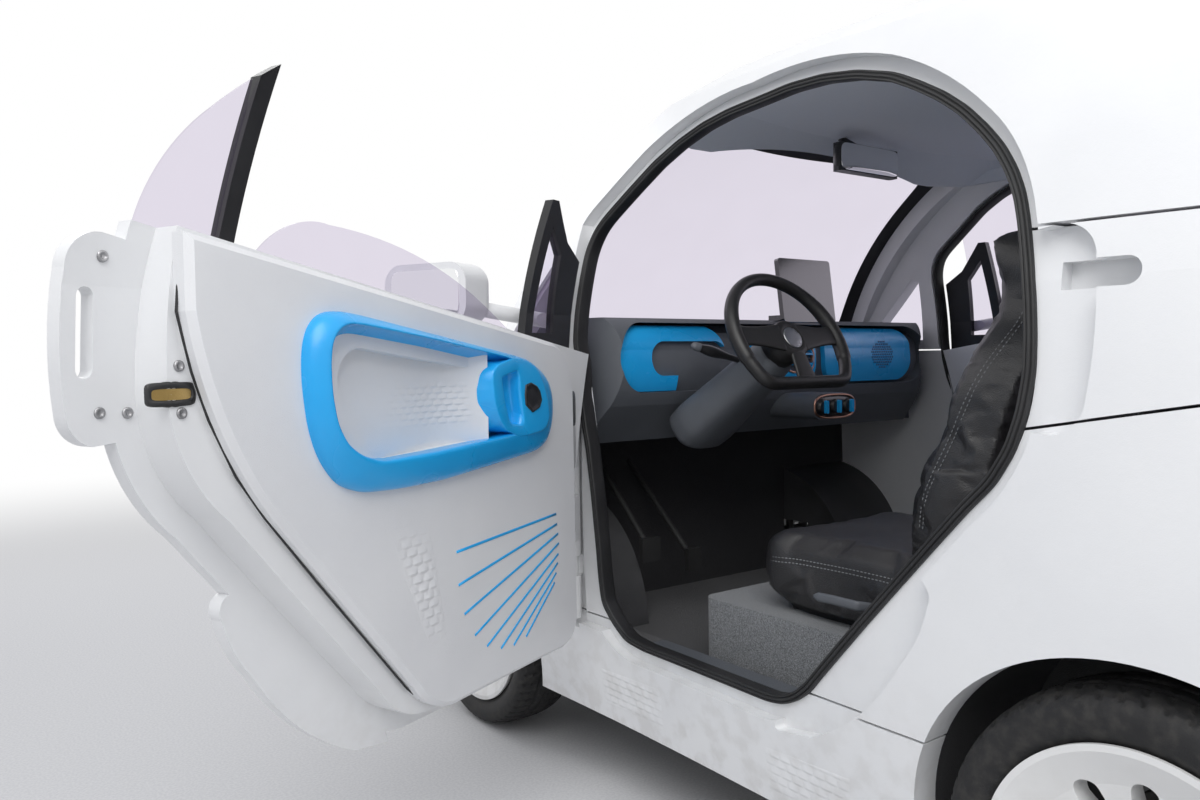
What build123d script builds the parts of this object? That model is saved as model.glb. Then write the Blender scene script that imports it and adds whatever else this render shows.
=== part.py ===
"""Two-seat electric microcar, full size, standing on its wheels with the left door open.

Millimetres. X points to the car's left, Y to its rear and Z up. The model is drawn about
the middle of the wheelbase on the ground, and moved at the end so that its origin lies
under the middle of the box that holds the whole car.
"""
from build123d import *
import math
import os

os.makedirs("parts", exist_ok=True)

# Wheels and their places
WHEELBASE = 1680
TRACK = 1290
FRONT_AXLE_Y = -WHEELBASE / 2
REAR_AXLE_Y = WHEELBASE / 2
TYRE_RADIUS = 273
TYRE_WIDTH = 165
TYRE_BEAD_RADIUS = 196
TYRE_SHOULDER = 14
RIM_RADIUS = 205
RIM_WIDTH = 140
RIM_FLANGE = 8
RIM_BARREL = 12
RIM_SPOKES = 12
POCKET_RING = 128
POCKET_LENGTH = 62
POCKET_WIDTH = 34
ARCH_RADIUS = 316
ARCH_INNER_X = 392
LINER_RADIUS = 330
LINER_THICKNESS = 5
LINER_GAP = 2

# Body sections along Y: place, half width at the waist and at the belt, rail and roof heights
SECTIONS = [
    (-1300, 450, 420, 1300, 1380),
    (-1150, 640, 590, 1350, 1430),
    (-840, 738, 680, 1400, 1480),
    (-380, 742, 722, 1478, 1556),
    (200, 747, 735, 1512, 1603),
    (800, 745, 728, 1475, 1563),
    (1080, 712, 690, 1405, 1480),
    (1300, 620, 600, 1320, 1385),
]
FOOT_HEIGHT = 175
WAIST_HEIGHT = 660
BELT_HEIGHT = 1060
FOOT_TUCK = 45
RAIL_TUCK = 145
RAIL_BULGE = 50
CORNER_RUN = 75
CORNER_RISE = 50

# Rounded ends of the body, each a barrel lying across it: axis Y and Z, radius, crown radius
NOSE_BARREL = (-545, 300, 720, 2200)
CAB_BARREL = (221, 466, 1187, 2200)
TAIL_BARREL = (-335, 600, 1600, 1800)

# Outer limits that cutting tools reach beyond
HALF_REACH = 900
END_REACH = 1400
TOP_REACH = 1700

# Body walls and the joints between panels
WALL = 60
END_WALL = 50
REBATE = 30
REBATE_STEP = 25
SEAM = 4
SEAT = 0.3
CLEAR = 5
FENDER_TOP = 975
SILL_TOP = 395
QUARTER_TOP = 1129
QUARTER_LOW_FRONT = 864
QUARTER_LOW_SLOPE = 0.18
QUARTER_FRONT_Y = 700

# Doors
HINGE_X = 715
HINGE_Y = -380
HINGE_BEAD = 18
HINGE_GROOVE = 33
HINGE_LUG = 12
HINGE_LUG_HEIGHT = 44
HINGE_HEIGHTS = (500, 840)
DOOR_OPEN_ANGLE = 65.3
DOOR_SKIN = 24
DOOR_INNER_X = 655
DOOR_EDGE_GAP = 6
SEAL_WIDTH = 12
SEAL_DEPTH = 28
TRIM_DEPTH = 30
POCKET_DEPTH = 24
ARMREST_DEPTH = 33
PULL_DEPTH = 16
PULL_Y = (10, 138)
PULL_Z = (829, 963)
SLOT_Y = (29, 82)
SLOT_Z = (847, 942)
BELT_AT_ZERO = 1031
BELT_SLOPE = 0.16
GLASS_INSET = 8
GLASS = 5
FRAME_OUT = 2
FRAME_DEPTH = 18
SAIL_GAP = 15
PANE_FRONT_Y = -290
MIRROR_CENTRE = (880, -130, 1100)
MIRROR_SIZE = (210, 100, 125)

# Glass and openings at the ends: low and high edge, half width at each, corner radius
SCREEN = (1006, 1505, 640, 505, 60)
SCREEN_LAP = 12
END_GLASS_INSET = 5
GATE = (640, 1425, 455, 430, 70)
GATE_GLASS = (1022, 1358, 378, 363, 40)
LID_FRONT_Y = -1190
LID_REAR_Y = -905
LID_HALF = 430
LID_RADIUS = 60
LID_LOW = 664
LID_HINGE = (70, -902.5, 921)
GATE_HINGE = (70, 1033, 1427.5)
LID_PIN = 6
LID_PIN_HALF = 18
PIN_MIDDLE = [(-LID_PIN_HALF, LID_PIN_HALF)]
PIN_ENDS = [
    (-3 * LID_PIN_HALF, -LID_PIN_HALF - SEAT),
    (LID_PIN_HALF + SEAT, 3 * LID_PIN_HALF),
]
ROOM_MIDDLE = [(-LID_PIN_HALF - SEAT, LID_PIN_HALF + SEAT)]
ROOM_ENDS = [
    (-3 * LID_PIN_HALF - CLEAR, -LID_PIN_HALF),
    (LID_PIN_HALF, 3 * LID_PIN_HALF + CLEAR),
]
LAMP_INSET = 3
HEADLAMP = (515, 620, 70)
HEADLAMP_BACK_Y = -1040
TAIL_LAMP = (545, 900, 62)
TAIL_LAMP_FRONT_Y = 1080

# Floor and lining
FLOOR_LOW = 250
FLOOR_TOP = 280
FLOOR_HALF = 750
FOOTWELL_HALF = 385
FIREWALL_Y = -770
FIREWALL_TOP = 930
BULKHEAD_Y = 590
SHEET = 20
BOOT_FLOOR = 600
SILL_BOX_X = 600
SILL_BOX_TOP = 349
LINING = 12
LINING_LOW = 1440
LINING_FRONT_Y = -270

# Chassis and axles
RAIL_X = 325
RAIL_WIDTH = 54
RAIL_LOW = 160
RAIL_HIGH = 222
RAIL_FRONT_Y = -1150
RAIL_REAR_Y = 1114
CROSS_WIDTH = 24
CROSS_FRONT_Y = -470
CROSS_REAR_Y = 485
OUTRIGGER_END = 600
BATTERY_HALF = 262
BATTERY_FRONT_Y = -400
KINGPIN_X = 560
KNUCKLE_LOW = 185
KNUCKLE_TOP = 365
ARM_DROP = 14
DAMPER_X = 480
TOWER_TOP = 632
TOWER_PLATE = 14
SPINDLE = 15
SPINDLE_END = 672
DISC_RADIUS = 105
TUBE_HALF = 540
AXLE_TUBE = 32
CASE_HALF = 75
DIFFERENTIAL = 88
SPRING_X = 350
SPRING_RADIUS = 36
LINK_RADIUS = 15
LINK_PIN = 9
LINK_FRONT_Y = 604
MOTOR_RADIUS = 78

# Steering
WHEEL_CENTRE = (330, -80, 1000)
WHEEL_TILT = 30
WHEEL_RADIUS = 161
WHEEL_GRIP = 14
WHEEL_FLAT_ANGLE = 48
HUB_RADIUS = 48
COLUMN_GAP = 45
COLUMN_LENGTH = 330

# Cabin
DASH_HALF = 690
DASH_FRONT_Y = -520
DASH_SHOULDER_Y = -500
DASH_REAR_Y = -340
DASH_CORNER_X = 612
DASH_CORNER_RADIUS = 130
BAND_CENTRE = (-8, 965)
BAND_SIZE = (1165, 168)
BAND_RADIUS = 78
BAND_DEPTH = 34
INSERT_DEPTH = 16
LEFT_INSERT = (400, 965, 345, 164, 76)
LEFT_POCKET = (345, 962, 250, 84, 41)
LEFT_INSERT_TAIL_X = 385
VENT_PLATE = (20, 955, 268, 124, 40)
VENTS = [(-52, 955, 104, 68), (84, 955, 104, 68)]
VENT_BLADE = 5
RIGHT_INSERT = (-345, 965, 385, 152, 58)
CLIMATE_CENTRE = (-50, 831)
CLIMATE_SIZE = (166, 68)
CLIMATE_Y = -272
KNOB_SPACING = 50
KNOB_RADIUS = 18
KNOB_DEPTH = 8
SEAT_X = 325
SEAT_BOX_HALF = 235
SEAT_BOX_TOP = 455
CUSHION_HALF = 225
CUSHION_LOW = 490
CUSHION_TOP = 600
CUSHION_EDGE = 28
BACK_HALF = 215


def barrel(axis_y, axis_z, radius, crown, inset=0):
    """A barrel across the car, turned about its axis from an arched generator."""
    reach = radius - inset
    drop = crown - math.sqrt(crown**2 - HALF_REACH**2)
    with BuildPart() as turned:
        with BuildSketch(Plane(origin=(0, axis_y, axis_z), x_dir=(1, 0, 0), z_dir=(0, -1, 0))):
            with BuildLine():
                ThreePointArc((-HALF_REACH, reach - drop), (0, reach), (HALF_REACH, reach - drop))
                Line((HALF_REACH, reach - drop), (HALF_REACH, 0))
                Line((HALF_REACH, 0), (-HALF_REACH, 0))
                Line((-HALF_REACH, 0), (-HALF_REACH, reach - drop))
            make_face()
        revolve(axis=Axis((0, axis_y, axis_z), (1, 0, 0)))
    return turned.part


def side_loft(inset=0, foot=FOOT_HEIGHT):
    """The body's sides and roof from end to end, moved inwards by the inset."""
    with BuildPart() as body:
        for y, waist, belt, rail, roof in SECTIONS:
            low = waist - FOOT_TUCK - inset
            mid = waist - inset
            high = belt - inset
            side_x = belt - RAIL_TUCK - 0.9 * inset
            side_z = rail - 0.45 * inset
            bulge_x = high - RAIL_BULGE
            bulge_z = (BELT_HEIGHT + side_z) / 2
            corner_x = belt - RAIL_TUCK - CORNER_RUN - 0.35 * inset
            corner_z = rail + CORNER_RISE - 0.93 * inset
            with BuildSketch(Plane.XZ.offset(-y)):
                with BuildLine():
                    Line((-low, foot), (low, foot))
                    ThreePointArc((low, foot), (mid, WAIST_HEIGHT), (high, BELT_HEIGHT))
                    ThreePointArc((high, BELT_HEIGHT), (bulge_x, bulge_z), (side_x, side_z))
                    Line((side_x, side_z), (corner_x, corner_z))
                    ThreePointArc((corner_x, corner_z), (0, roof - inset), (-corner_x, corner_z))
                    Line((-corner_x, corner_z), (-side_x, side_z))
                    ThreePointArc((-side_x, side_z), (-bulge_x, bulge_z), (-high, BELT_HEIGHT))
                    ThreePointArc((-high, BELT_HEIGHT), (-mid, WAIST_HEIGHT), (-low, foot))
                make_face()
        loft()
    return body.part


def body_form(inset=0, side_inset=0, foot=FOOT_HEIGHT):
    """The closed form of the body: sides and roof cut to the rounded nose, cab and tail."""
    with BuildPart() as form:
        add(barrel(*CAB_BARREL, inset))
        add(barrel(*NOSE_BARREL, inset))
        add(block(-HALF_REACH, HALF_REACH, CAB_BARREL[0], END_REACH, 0, TOP_REACH))
        add(barrel(*TAIL_BARREL, inset), mode=Mode.INTERSECT)
        add(side_loft(side_inset, foot), mode=Mode.INTERSECT)
    return form.part


def prism(outline, grow=0, near=-HALF_REACH, far=HALF_REACH):
    """A side-view outline of Y and Z, grown by an amount, drawn out along X."""
    with BuildPart() as slab:
        with BuildSketch(Plane.YZ.offset(near)):
            make_face(outline.edges())
            if grow:
                offset(amount=grow, kind=Kind.ARC, mode=Mode.REPLACE)
        extrude(amount=far - near)
    return slab.part


def band(points):
    """A straight-sided side-view region drawn across the whole car."""
    with BuildPart() as region:
        with BuildSketch(Plane.YZ.offset(-HALF_REACH)):
            with BuildLine():
                Polyline(*points, close=True)
            make_face()
        extrude(amount=2 * HALF_REACH)
    return region.part


def end_window(low, high, low_half, high_half, radius, grow=0, near=0, far=END_REACH):
    """A round-cornered trapezoid seen from the front or rear, grown, drawn out along Y."""
    with BuildPart() as slab:
        with BuildSketch(Plane.XZ.offset(-near)):
            with BuildLine():
                Polyline(
                    (-low_half - grow, low - grow),
                    (low_half + grow, low - grow),
                    (high_half + grow, high + grow),
                    (-high_half - grow, high + grow),
                    close=True,
                )
            make_face()
            fillet(vertices(), radius=radius + grow)
        extrude(amount=near - far)
    return slab.part


def common(*shapes):
    """What all the given solids share."""
    with BuildPart() as shared:
        add(shapes[0])
        for shape in shapes[1:]:
            add(shape, mode=Mode.INTERSECT)
    return shared.part


def less(base, *cutters):
    """A solid with others cut out of it."""
    with BuildPart() as cut:
        add(base)
        for cutter in cutters:
            add(cutter, mode=Mode.SUBTRACT)
    return cut.part


def joined(*shapes):
    """Several solids as one part."""
    with BuildPart() as whole:
        for shape in shapes:
            add(shape)
    return whole.part


def both(shape):
    """A left-hand solid and its mirror image."""
    with BuildPart() as pair:
        add(shape)
        mirror(about=Plane.YZ)
    return pair.part


def other_side(shape):
    """The mirror image of a left-hand solid."""
    with BuildPart() as image:
        mirror(shape, about=Plane.YZ)
    return image.part


def block(x0, x1, y0, y1, z0, z1, radius=0):
    """A box between two corners, with its upright edges rounded if a radius is given."""
    with BuildPart() as solid:
        with BuildSketch(Plane.XY.offset(z0)):
            with Locations(((x0 + x1) / 2, (y0 + y1) / 2)):
                if radius:
                    RectangleRounded(x1 - x0, y1 - y0, radius)
                else:
                    Rectangle(x1 - x0, y1 - y0)
        extrude(amount=z1 - z0)
    return solid.part


def rod(start, end, radius):
    """A round bar from one point to another."""
    along = Vector(*end) - Vector(*start)
    with BuildPart() as bar:
        with BuildSketch(Plane(origin=start, z_dir=along)):
            Circle(radius)
        extrude(amount=along.length)
    return bar.part


def lid_pins(centre_x, y, z, spans, radius):
    """Hinge pins along X at two places on a lid's hinge line, one for each pair of ends."""
    with BuildPart() as pins:
        for side in (-1, 1):
            for near, far in spans:
                add(rod((side * centre_x + near, y, z), (side * centre_x + far, y, z), radius))
    return pins.part


def belt_height(y):
    """Height of the door's top edge at a place along the car."""
    return BELT_AT_ZERO + BELT_SLOPE * y


def quarter_low(y):
    """Height of the lower joint of the rear quarter panel."""
    return QUARTER_LOW_FRONT + QUARTER_LOW_SLOPE * (y - QUARTER_FRONT_Y)


def below_belt(drop=0):
    """Everything under the doors' top edge, in side view."""
    front = belt_height(-END_REACH) - drop
    rear = belt_height(END_REACH) - drop
    return band([(-END_REACH, front), (END_REACH, rear), (END_REACH, 0), (-END_REACH, 0)])


def wheel_wells(radius, inner_x, outer_x=HALF_REACH):
    """Round spaces about the four wheels, from an inner face outwards."""
    with BuildPart() as wells:
        for axle_y in (FRONT_AXLE_Y, REAR_AXLE_Y):
            with BuildSketch(Plane.YZ.offset(inner_x)):
                with Locations((axle_y, TYRE_RADIUS)):
                    Circle(radius)
            extrude(amount=outer_x - inner_x)
        mirror(about=Plane.YZ)
    return wells.part


# Door opening, seen from the side, along the outer edge of its seal
with BuildLine() as opening_outline:
    Line((-150, 356), (210, 356))
    ThreePointArc((210, 356), (282, 378), (335, 430))
    Line((335, 430), (612, 746))
    ThreePointArc((612, 746), (678, 833), (702, 940))
    ThreePointArc((702, 940), (697, 1040), (680, 1140))
    ThreePointArc((680, 1140), (650, 1220), (595, 1290))
    ThreePointArc((595, 1290), (505, 1364), (400, 1422))
    ThreePointArc((400, 1422), (240, 1461), (80, 1457))
    ThreePointArc((80, 1457), (-70, 1438), (-200, 1381))
    Line((-200, 1381), (-340, 1278))
    ThreePointArc((-340, 1278), (-376, 1228), (-384, 1170))
    Line((-384, 1170), (-384, 1000))
    ThreePointArc((-384, 1000), (-322, 770), (-292, 560))
    Line((-292, 560), (-288, 480))
    ThreePointArc((-288, 480), (-248, 392), (-150, 356))

# Lobes of the door skin: one over the latch, which is also its grip, and one by the sill
with BuildLine() as latch_lobe:
    Polyline((600, 1100), (600, 880), (740, 866))
    ThreePointArc((740, 866), (765, 880), (776, 905))
    ThreePointArc((776, 905), (784, 1000), (780, 1080))
    ThreePointArc((780, 1080), (768, 1112), (735, 1124))
    Line((735, 1124), (600, 1100))
with BuildLine() as sill_lobe:
    Polyline((300, 520), (250, 326), (325, 338))
    ThreePointArc((325, 338), (430, 410), (510, 510))
    ThreePointArc((510, 510), (540, 555), (558, 605))
    ThreePointArc((558, 605), (556, 632), (536, 640))
    Line((536, 640), (300, 520))
with BuildLine() as grip_hole:
    Line((742, 960), (742, 1048))
    ThreePointArc((742, 1048), (753, 1059), (764, 1048))
    Line((764, 1048), (764, 960))
    ThreePointArc((764, 960), (753, 949), (742, 960))
with BuildLine() as scoop_outline:
    Line((730, 1046), (822, 1046))
    ThreePointArc((822, 1046), (840, 1064), (822, 1082))
    Line((822, 1082), (730, 1082))
    Line((730, 1082), (730, 1046))

# Fixed glass between the screen pillar and the door, seen from the side
with BuildLine() as quarter_glass_outline:
    Polyline((-640, 1008), (-436, 1008), (-428, 1188), (-452, 1196), close=True)

# Body walls: the closed form, hollowed, with its doors' rebates and its wheel arches
outer_form = body_form()
cavity = body_form(END_WALL, WALL, foot=100)
skin_inner = side_loft(DOOR_SKIN, foot=100)
outboard = block(0, HALF_REACH, -END_REACH, END_REACH, 0, TOP_REACH)
hinge_front = block(-HALF_REACH, HALF_REACH, HINGE_Y - CLEAR, END_REACH, 0, TOP_REACH)
opening = prism(opening_outline.line)
groove_low = (HINGE_X, HINGE_Y, SILL_TOP - 30)
groove_high = (HINGE_X, HINGE_Y, belt_height(HINGE_Y) + CLEAR)
hinge_groove = common(
    rod(groove_low, groove_high, HINGE_GROOVE),
    block(HINGE_X - HINGE_BEAD - CLEAR, HALF_REACH, -END_REACH, END_REACH, 0, TOP_REACH),
)
skin_region = joined(
    common(prism(latch_lobe.line, DOOR_EDGE_GAP), below_belt(-CLEAR)),
    prism(sill_lobe.line, DOOR_EDGE_GAP),
    band(
        [
            (HINGE_Y, SILL_TOP - 20),
            (HINGE_Y, belt_height(HINGE_Y) + CLEAR),
            (0, belt_height(0)),
            (0, SILL_TOP - 20),
        ]
    ),
    common(prism(opening_outline.line, REBATE_STEP), hinge_front),
)
rebate = less(skin_region, side_loft(REBATE, foot=100))
shell = less(
    outer_form,
    cavity,
    opening,
    rebate,
    wheel_wells(ARCH_RADIUS, ARCH_INNER_X),
    both(hinge_groove),
)

# Glass outlines and their beds in the body
screen_space = end_window(*SCREEN, near=-END_REACH, far=-60)
screen_lap = end_window(*SCREEN, grow=SCREEN_LAP, near=-END_REACH, far=-60)
screen_bed = less(screen_lap, barrel(*CAB_BARREL, END_GLASS_INSET + GLASS + SEAT))
quarter_glass_bed = less(
    prism(quarter_glass_outline.line, SCREEN_LAP), side_loft(GLASS_INSET + GLASS + SEAT, foot=100)
)
gate_glass_bed = less(
    end_window(*GATE_GLASS, grow=SCREEN_LAP), barrel(*TAIL_BARREL, END_GLASS_INSET + GLASS + SEAT)
)
gate_space = end_window(*GATE, grow=CLEAR)
lamp_x, lamp_z, lamp_radius = TAIL_LAMP
tail_lamp_room = both(
    rod((lamp_x, TAIL_LAMP_FRONT_Y - SEAT, lamp_z), (lamp_x, END_REACH, lamp_z), lamp_radius + SEAT)
)

# Body panels, each the part of the walls between its joints
with BuildPart() as body_shell:
    add(shell)
    add(
        band(
            [
                (-END_REACH, FENDER_TOP + SEAM),
                (0, FENDER_TOP + SEAM),
                (0, QUARTER_TOP + SEAM),
                (END_REACH, QUARTER_TOP + SEAM),
                (END_REACH, TOP_REACH),
                (-END_REACH, TOP_REACH),
            ]
        ),
        mode=Mode.INTERSECT,
    )
    add(gate_space, mode=Mode.SUBTRACT)
    add(lid_pins(*GATE_HINGE, ROOM_MIDDLE, LID_PIN + CLEAR), mode=Mode.SUBTRACT)
    add(lid_pins(*GATE_HINGE, PIN_ENDS, LID_PIN))
    add(screen_space, mode=Mode.SUBTRACT)
    add(screen_bed, mode=Mode.SUBTRACT)
    add(prism(quarter_glass_outline.line), mode=Mode.SUBTRACT)
    add(quarter_glass_bed, mode=Mode.SUBTRACT)

with BuildPart() as rear_quarters:
    add(shell)
    add(
        band(
            [
                (300, QUARTER_TOP),
                (END_REACH, QUARTER_TOP),
                (END_REACH, quarter_low(END_REACH) + SEAM),
                (300, quarter_low(300) + SEAM),
            ]
        ),
        mode=Mode.INTERSECT,
    )
    add(gate_space, mode=Mode.SUBTRACT)
    add(less(prism(scoop_outline.line), side_loft(WALL - CLEAR, foot=100)), mode=Mode.SUBTRACT)
    add(tail_lamp_room, mode=Mode.SUBTRACT)

with BuildPart() as rear_body:
    add(shell)
    add(
        band(
            [
                (100, SILL_TOP + SEAM),
                (100, quarter_low(100)),
                (END_REACH, quarter_low(END_REACH)),
                (END_REACH, 0),
                (REAR_AXLE_Y, 0),
                (REAR_AXLE_Y, SILL_TOP + SEAM),
            ]
        ),
        mode=Mode.INTERSECT,
    )
    add(gate_space, mode=Mode.SUBTRACT)
    add(tail_lamp_room, mode=Mode.SUBTRACT)

with BuildPart() as front_body:
    add(shell)
    add(
        band(
            [
                (-END_REACH, 0),
                (-END_REACH, FENDER_TOP),
                (0, FENDER_TOP),
                (0, SILL_TOP + SEAM),
                (FRONT_AXLE_Y, SILL_TOP + SEAM),
                (FRONT_AXLE_Y, 0),
            ]
        ),
        mode=Mode.INTERSECT,
    )
    add(
        block(
            -LID_HALF - SEAM,
            LID_HALF + SEAM,
            LID_FRONT_Y - SEAM,
            LID_REAR_Y + CLEAR,
            LID_LOW - CLEAR,
            TOP_REACH,
            radius=LID_RADIUS + SEAM,
        ),
        mode=Mode.SUBTRACT,
    )
    add(lid_pins(*LID_HINGE, ROOM_MIDDLE, LID_PIN + CLEAR), mode=Mode.SUBTRACT)
    add(lid_pins(*LID_HINGE, PIN_ENDS, LID_PIN))
    lamp_x, lamp_z, lamp_radius = HEADLAMP
    for side in (-1, 1):
        lamp_back = (side * lamp_x, HEADLAMP_BACK_Y + SEAT, lamp_z)
        add(rod(lamp_back, (side * lamp_x, -END_REACH, lamp_z), lamp_radius + SEAT), mode=Mode.SUBTRACT)
        for lug_z in HINGE_HEIGHTS:
            low = lug_z - HINGE_LUG_HEIGHT / 2
            high = lug_z + HINGE_LUG_HEIGHT / 2
            ends = sorted((side * (HINGE_X - 34), side * (HINGE_X + 4)))
            add(rod((side * HINGE_X, HINGE_Y, low), (side * HINGE_X, HINGE_Y, high), HINGE_LUG))
            add(block(*ends, HINGE_Y - HINGE_LUG / 2, HINGE_Y + HINGE_LUG / 2, low, high))

with BuildPart() as side_sills:
    add(shell)
    add(
        band([(FRONT_AXLE_Y, 0), (FRONT_AXLE_Y, SILL_TOP), (REAR_AXLE_Y, SILL_TOP), (REAR_AXLE_Y, 0)]),
        mode=Mode.INTERSECT,
    )

with BuildPart() as bonnet:
    add(less(outer_form, cavity))
    add(
        block(-LID_HALF, LID_HALF, LID_FRONT_Y, LID_REAR_Y, LID_LOW, FENDER_TOP, radius=LID_RADIUS),
        mode=Mode.INTERSECT,
    )
    add(lid_pins(*LID_HINGE, ROOM_ENDS, LID_PIN + CLEAR), mode=Mode.SUBTRACT)
    add(lid_pins(*LID_HINGE, PIN_MIDDLE, LID_PIN))

with BuildPart() as tailgate:
    add(less(outer_form, cavity))
    add(end_window(*GATE), mode=Mode.INTERSECT)
    add(end_window(*GATE_GLASS), mode=Mode.SUBTRACT)
    add(gate_glass_bed, mode=Mode.SUBTRACT)
    add(lid_pins(*GATE_HINGE, ROOM_ENDS, LID_PIN + CLEAR), mode=Mode.SUBTRACT)
    add(lid_pins(*GATE_HINGE, PIN_MIDDLE, LID_PIN))

with BuildPart() as tailgate_glass:
    add(end_window(*GATE_GLASS, grow=SCREEN_LAP - SEAT))
    add(barrel(*TAIL_BARREL, END_GLASS_INSET), mode=Mode.INTERSECT)
    add(barrel(*TAIL_BARREL, END_GLASS_INSET + GLASS), mode=Mode.SUBTRACT)

with BuildPart() as fixed_glass:
    add(end_window(*SCREEN, grow=SCREEN_LAP - SEAT, near=-END_REACH, far=-60))
    add(barrel(*CAB_BARREL, END_GLASS_INSET), mode=Mode.INTERSECT)
    add(barrel(*CAB_BARREL, END_GLASS_INSET + GLASS), mode=Mode.SUBTRACT)
    add(
        common(
            prism(quarter_glass_outline.line, SCREEN_LAP - SEAT),
            less(side_loft(GLASS_INSET, foot=100), side_loft(GLASS_INSET + GLASS, foot=100)),
        )
    )

with BuildPart() as headlamps:
    lamp_x, lamp_z, lamp_radius = HEADLAMP
    for side in (-1, 1):
        add(rod((side * lamp_x, HEADLAMP_BACK_Y, lamp_z), (side * lamp_x, -END_REACH, lamp_z), lamp_radius))
    add(body_form(LAMP_INSET, LAMP_INSET), mode=Mode.INTERSECT)

with BuildPart() as tail_lamps:
    lamp_x, lamp_z, lamp_radius = TAIL_LAMP
    for side in (-1, 1):
        add(rod((side * lamp_x, TAIL_LAMP_FRONT_Y, lamp_z), (side * lamp_x, END_REACH, lamp_z), lamp_radius))
    add(body_form(LAMP_INSET, LAMP_INSET), mode=Mode.INTERSECT)

with BuildPart() as door_seals:
    add(prism(opening_outline.line, -SEAT))
    add(prism(opening_outline.line, -SEAL_WIDTH), mode=Mode.SUBTRACT)
    add(side_loft(REBATE, foot=100), mode=Mode.INTERSECT)
    add(side_loft(REBATE + SEAL_DEPTH, foot=100), mode=Mode.SUBTRACT)
    add(both(hinge_groove), mode=Mode.SUBTRACT)

# Doors, drawn shut on the left side
above_belt = less(outboard, below_belt(-SEAT))
with BuildPart() as door_shape:
    add(common(prism(latch_lobe.line), below_belt()))
    add(prism(sill_lobe.line))
    add(
        band(
            [
                (HINGE_Y, SILL_TOP - 14),
                (HINGE_Y, belt_height(HINGE_Y)),
                (0, belt_height(0)),
                (0, SILL_TOP - 14),
            ]
        )
    )
    add(common(prism(opening_outline.line, REBATE_STEP - DOOR_EDGE_GAP), hinge_front, below_belt()))
    add(outboard, mode=Mode.INTERSECT)
    add(side_loft(), mode=Mode.INTERSECT)
    add(skin_inner, mode=Mode.SUBTRACT)
    add(
        common(
            skin_inner,
            prism(opening_outline.line, -SEAL_WIDTH - CLEAR),
            below_belt(),
            block(DOOR_INNER_X, HALF_REACH, -END_REACH, END_REACH, 0, TOP_REACH),
        )
    )
    bead_low = (HINGE_X, HINGE_Y, SILL_TOP - 14)
    bead_high = (HINGE_X, HINGE_Y, belt_height(HINGE_Y) - 2)
    add(rod(bead_low, bead_high, HINGE_BEAD))
    for lug_z in HINGE_HEIGHTS:
        low = (HINGE_X, HINGE_Y, lug_z - HINGE_LUG_HEIGHT / 2 - SEAT)
        high = (HINGE_X, HINGE_Y, lug_z + HINGE_LUG_HEIGHT / 2 + SEAT)
        add(rod(low, high, HINGE_BEAD + SEAT), mode=Mode.SUBTRACT)
    add(prism(grip_hole.line), mode=Mode.SUBTRACT)

# Inner trim panel, with the armrest ring and the pocket that it frames
with BuildLine() as trim_outline:
    Line((672, 1128), (-150, 1000))
    ThreePointArc((-150, 1000), (-222, 965), (-245, 900))
    Line((-245, 900), (-250, 440))
    ThreePointArc((-250, 440), (-232, 390), (-180, 374))
    Line((-180, 374), (150, 374))
    ThreePointArc((150, 374), (215, 388), (265, 432))
    Line((265, 432), (545, 752))
    ThreePointArc((545, 752), (630, 890), (672, 1030))
    Line((672, 1030), (672, 1128))
with BuildLine() as armrest_outline:
    Line((400, 1034), (-60, 972))
    ThreePointArc((-60, 972), (-135, 940), (-152, 885))
    ThreePointArc((-152, 885), (-115, 812), (-40, 796))
    Line((-40, 796), (345, 768))
    ThreePointArc((345, 768), (445, 825), (488, 925))
    ThreePointArc((488, 925), (478, 1010), (400, 1034))
with BuildLine() as pocket_outline:
    Line((375, 985), (60, 945))
    ThreePointArc((60, 945), (38, 935), (30, 915))
    Line((30, 915), (25, 850))
    ThreePointArc((25, 850), (30, 832), (50, 828))
    Line((50, 828), (330, 812))
    ThreePointArc((330, 812), (395, 850), (425, 920))
    ThreePointArc((425, 920), (420, 965), (375, 985))
trim_face = DOOR_INNER_X - TRIM_DEPTH
armrest_face = trim_face - ARMREST_DEPTH
with BuildPart() as trim_shape:
    add(prism(trim_outline.line, 0, trim_face, DOOR_INNER_X - SEAT))
    chamfer(trim_shape.faces().sort_by(Axis.X)[0].edges(), length=9)
    add(prism(pocket_outline.line, 0, 0, trim_face + POCKET_DEPTH), mode=Mode.SUBTRACT)
with BuildPart() as armrest_shape:
    add(prism(armrest_outline.line, 0, armrest_face, trim_face - SEAT))
    add(prism(pocket_outline.line), mode=Mode.SUBTRACT)
    add(block(armrest_face - PULL_DEPTH, trim_face - SEAT, *PULL_Y, *PULL_Z))
    add(block(armrest_face - 2 * PULL_DEPTH, armrest_face + 10, *SLOT_Y, *SLOT_Z), mode=Mode.SUBTRACT)

# Window frames of a door, its glass and its mirror
with BuildLine() as sail_outline:
    Polyline(
        (HINGE_Y + SAIL_GAP, belt_height(HINGE_Y)),
        (HINGE_Y + SAIL_GAP, 1176),
        (-306, 1212),
        (-240, 1290),
        (-218, 1290),
        (-192, belt_height(-192)),
        close=True,
    )
with BuildLine() as sail_light:
    Polyline((-298, 1020), (-292, 1185), (-242, 1240), (-220, 1020), close=True)
with BuildLine() as post_outline:
    Polyline((544, 1080), (505, 1420), (531, 1420), (570, 1080), close=True)
with BuildLine() as lowered_top:
    Line((500, belt_height(500)), (-180, belt_height(-180)))
    ThreePointArc((-180, belt_height(-180)), (120, 1140), (360, 1176))
    ThreePointArc((360, 1176), (450, 1160), (500, belt_height(500)))
pane = less(side_loft(GLASS_INSET, foot=100), side_loft(GLASS_INSET + GLASS, foot=100))
behind_hinge = block(0, HALF_REACH, HINGE_Y, END_REACH, 0, TOP_REACH)
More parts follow.
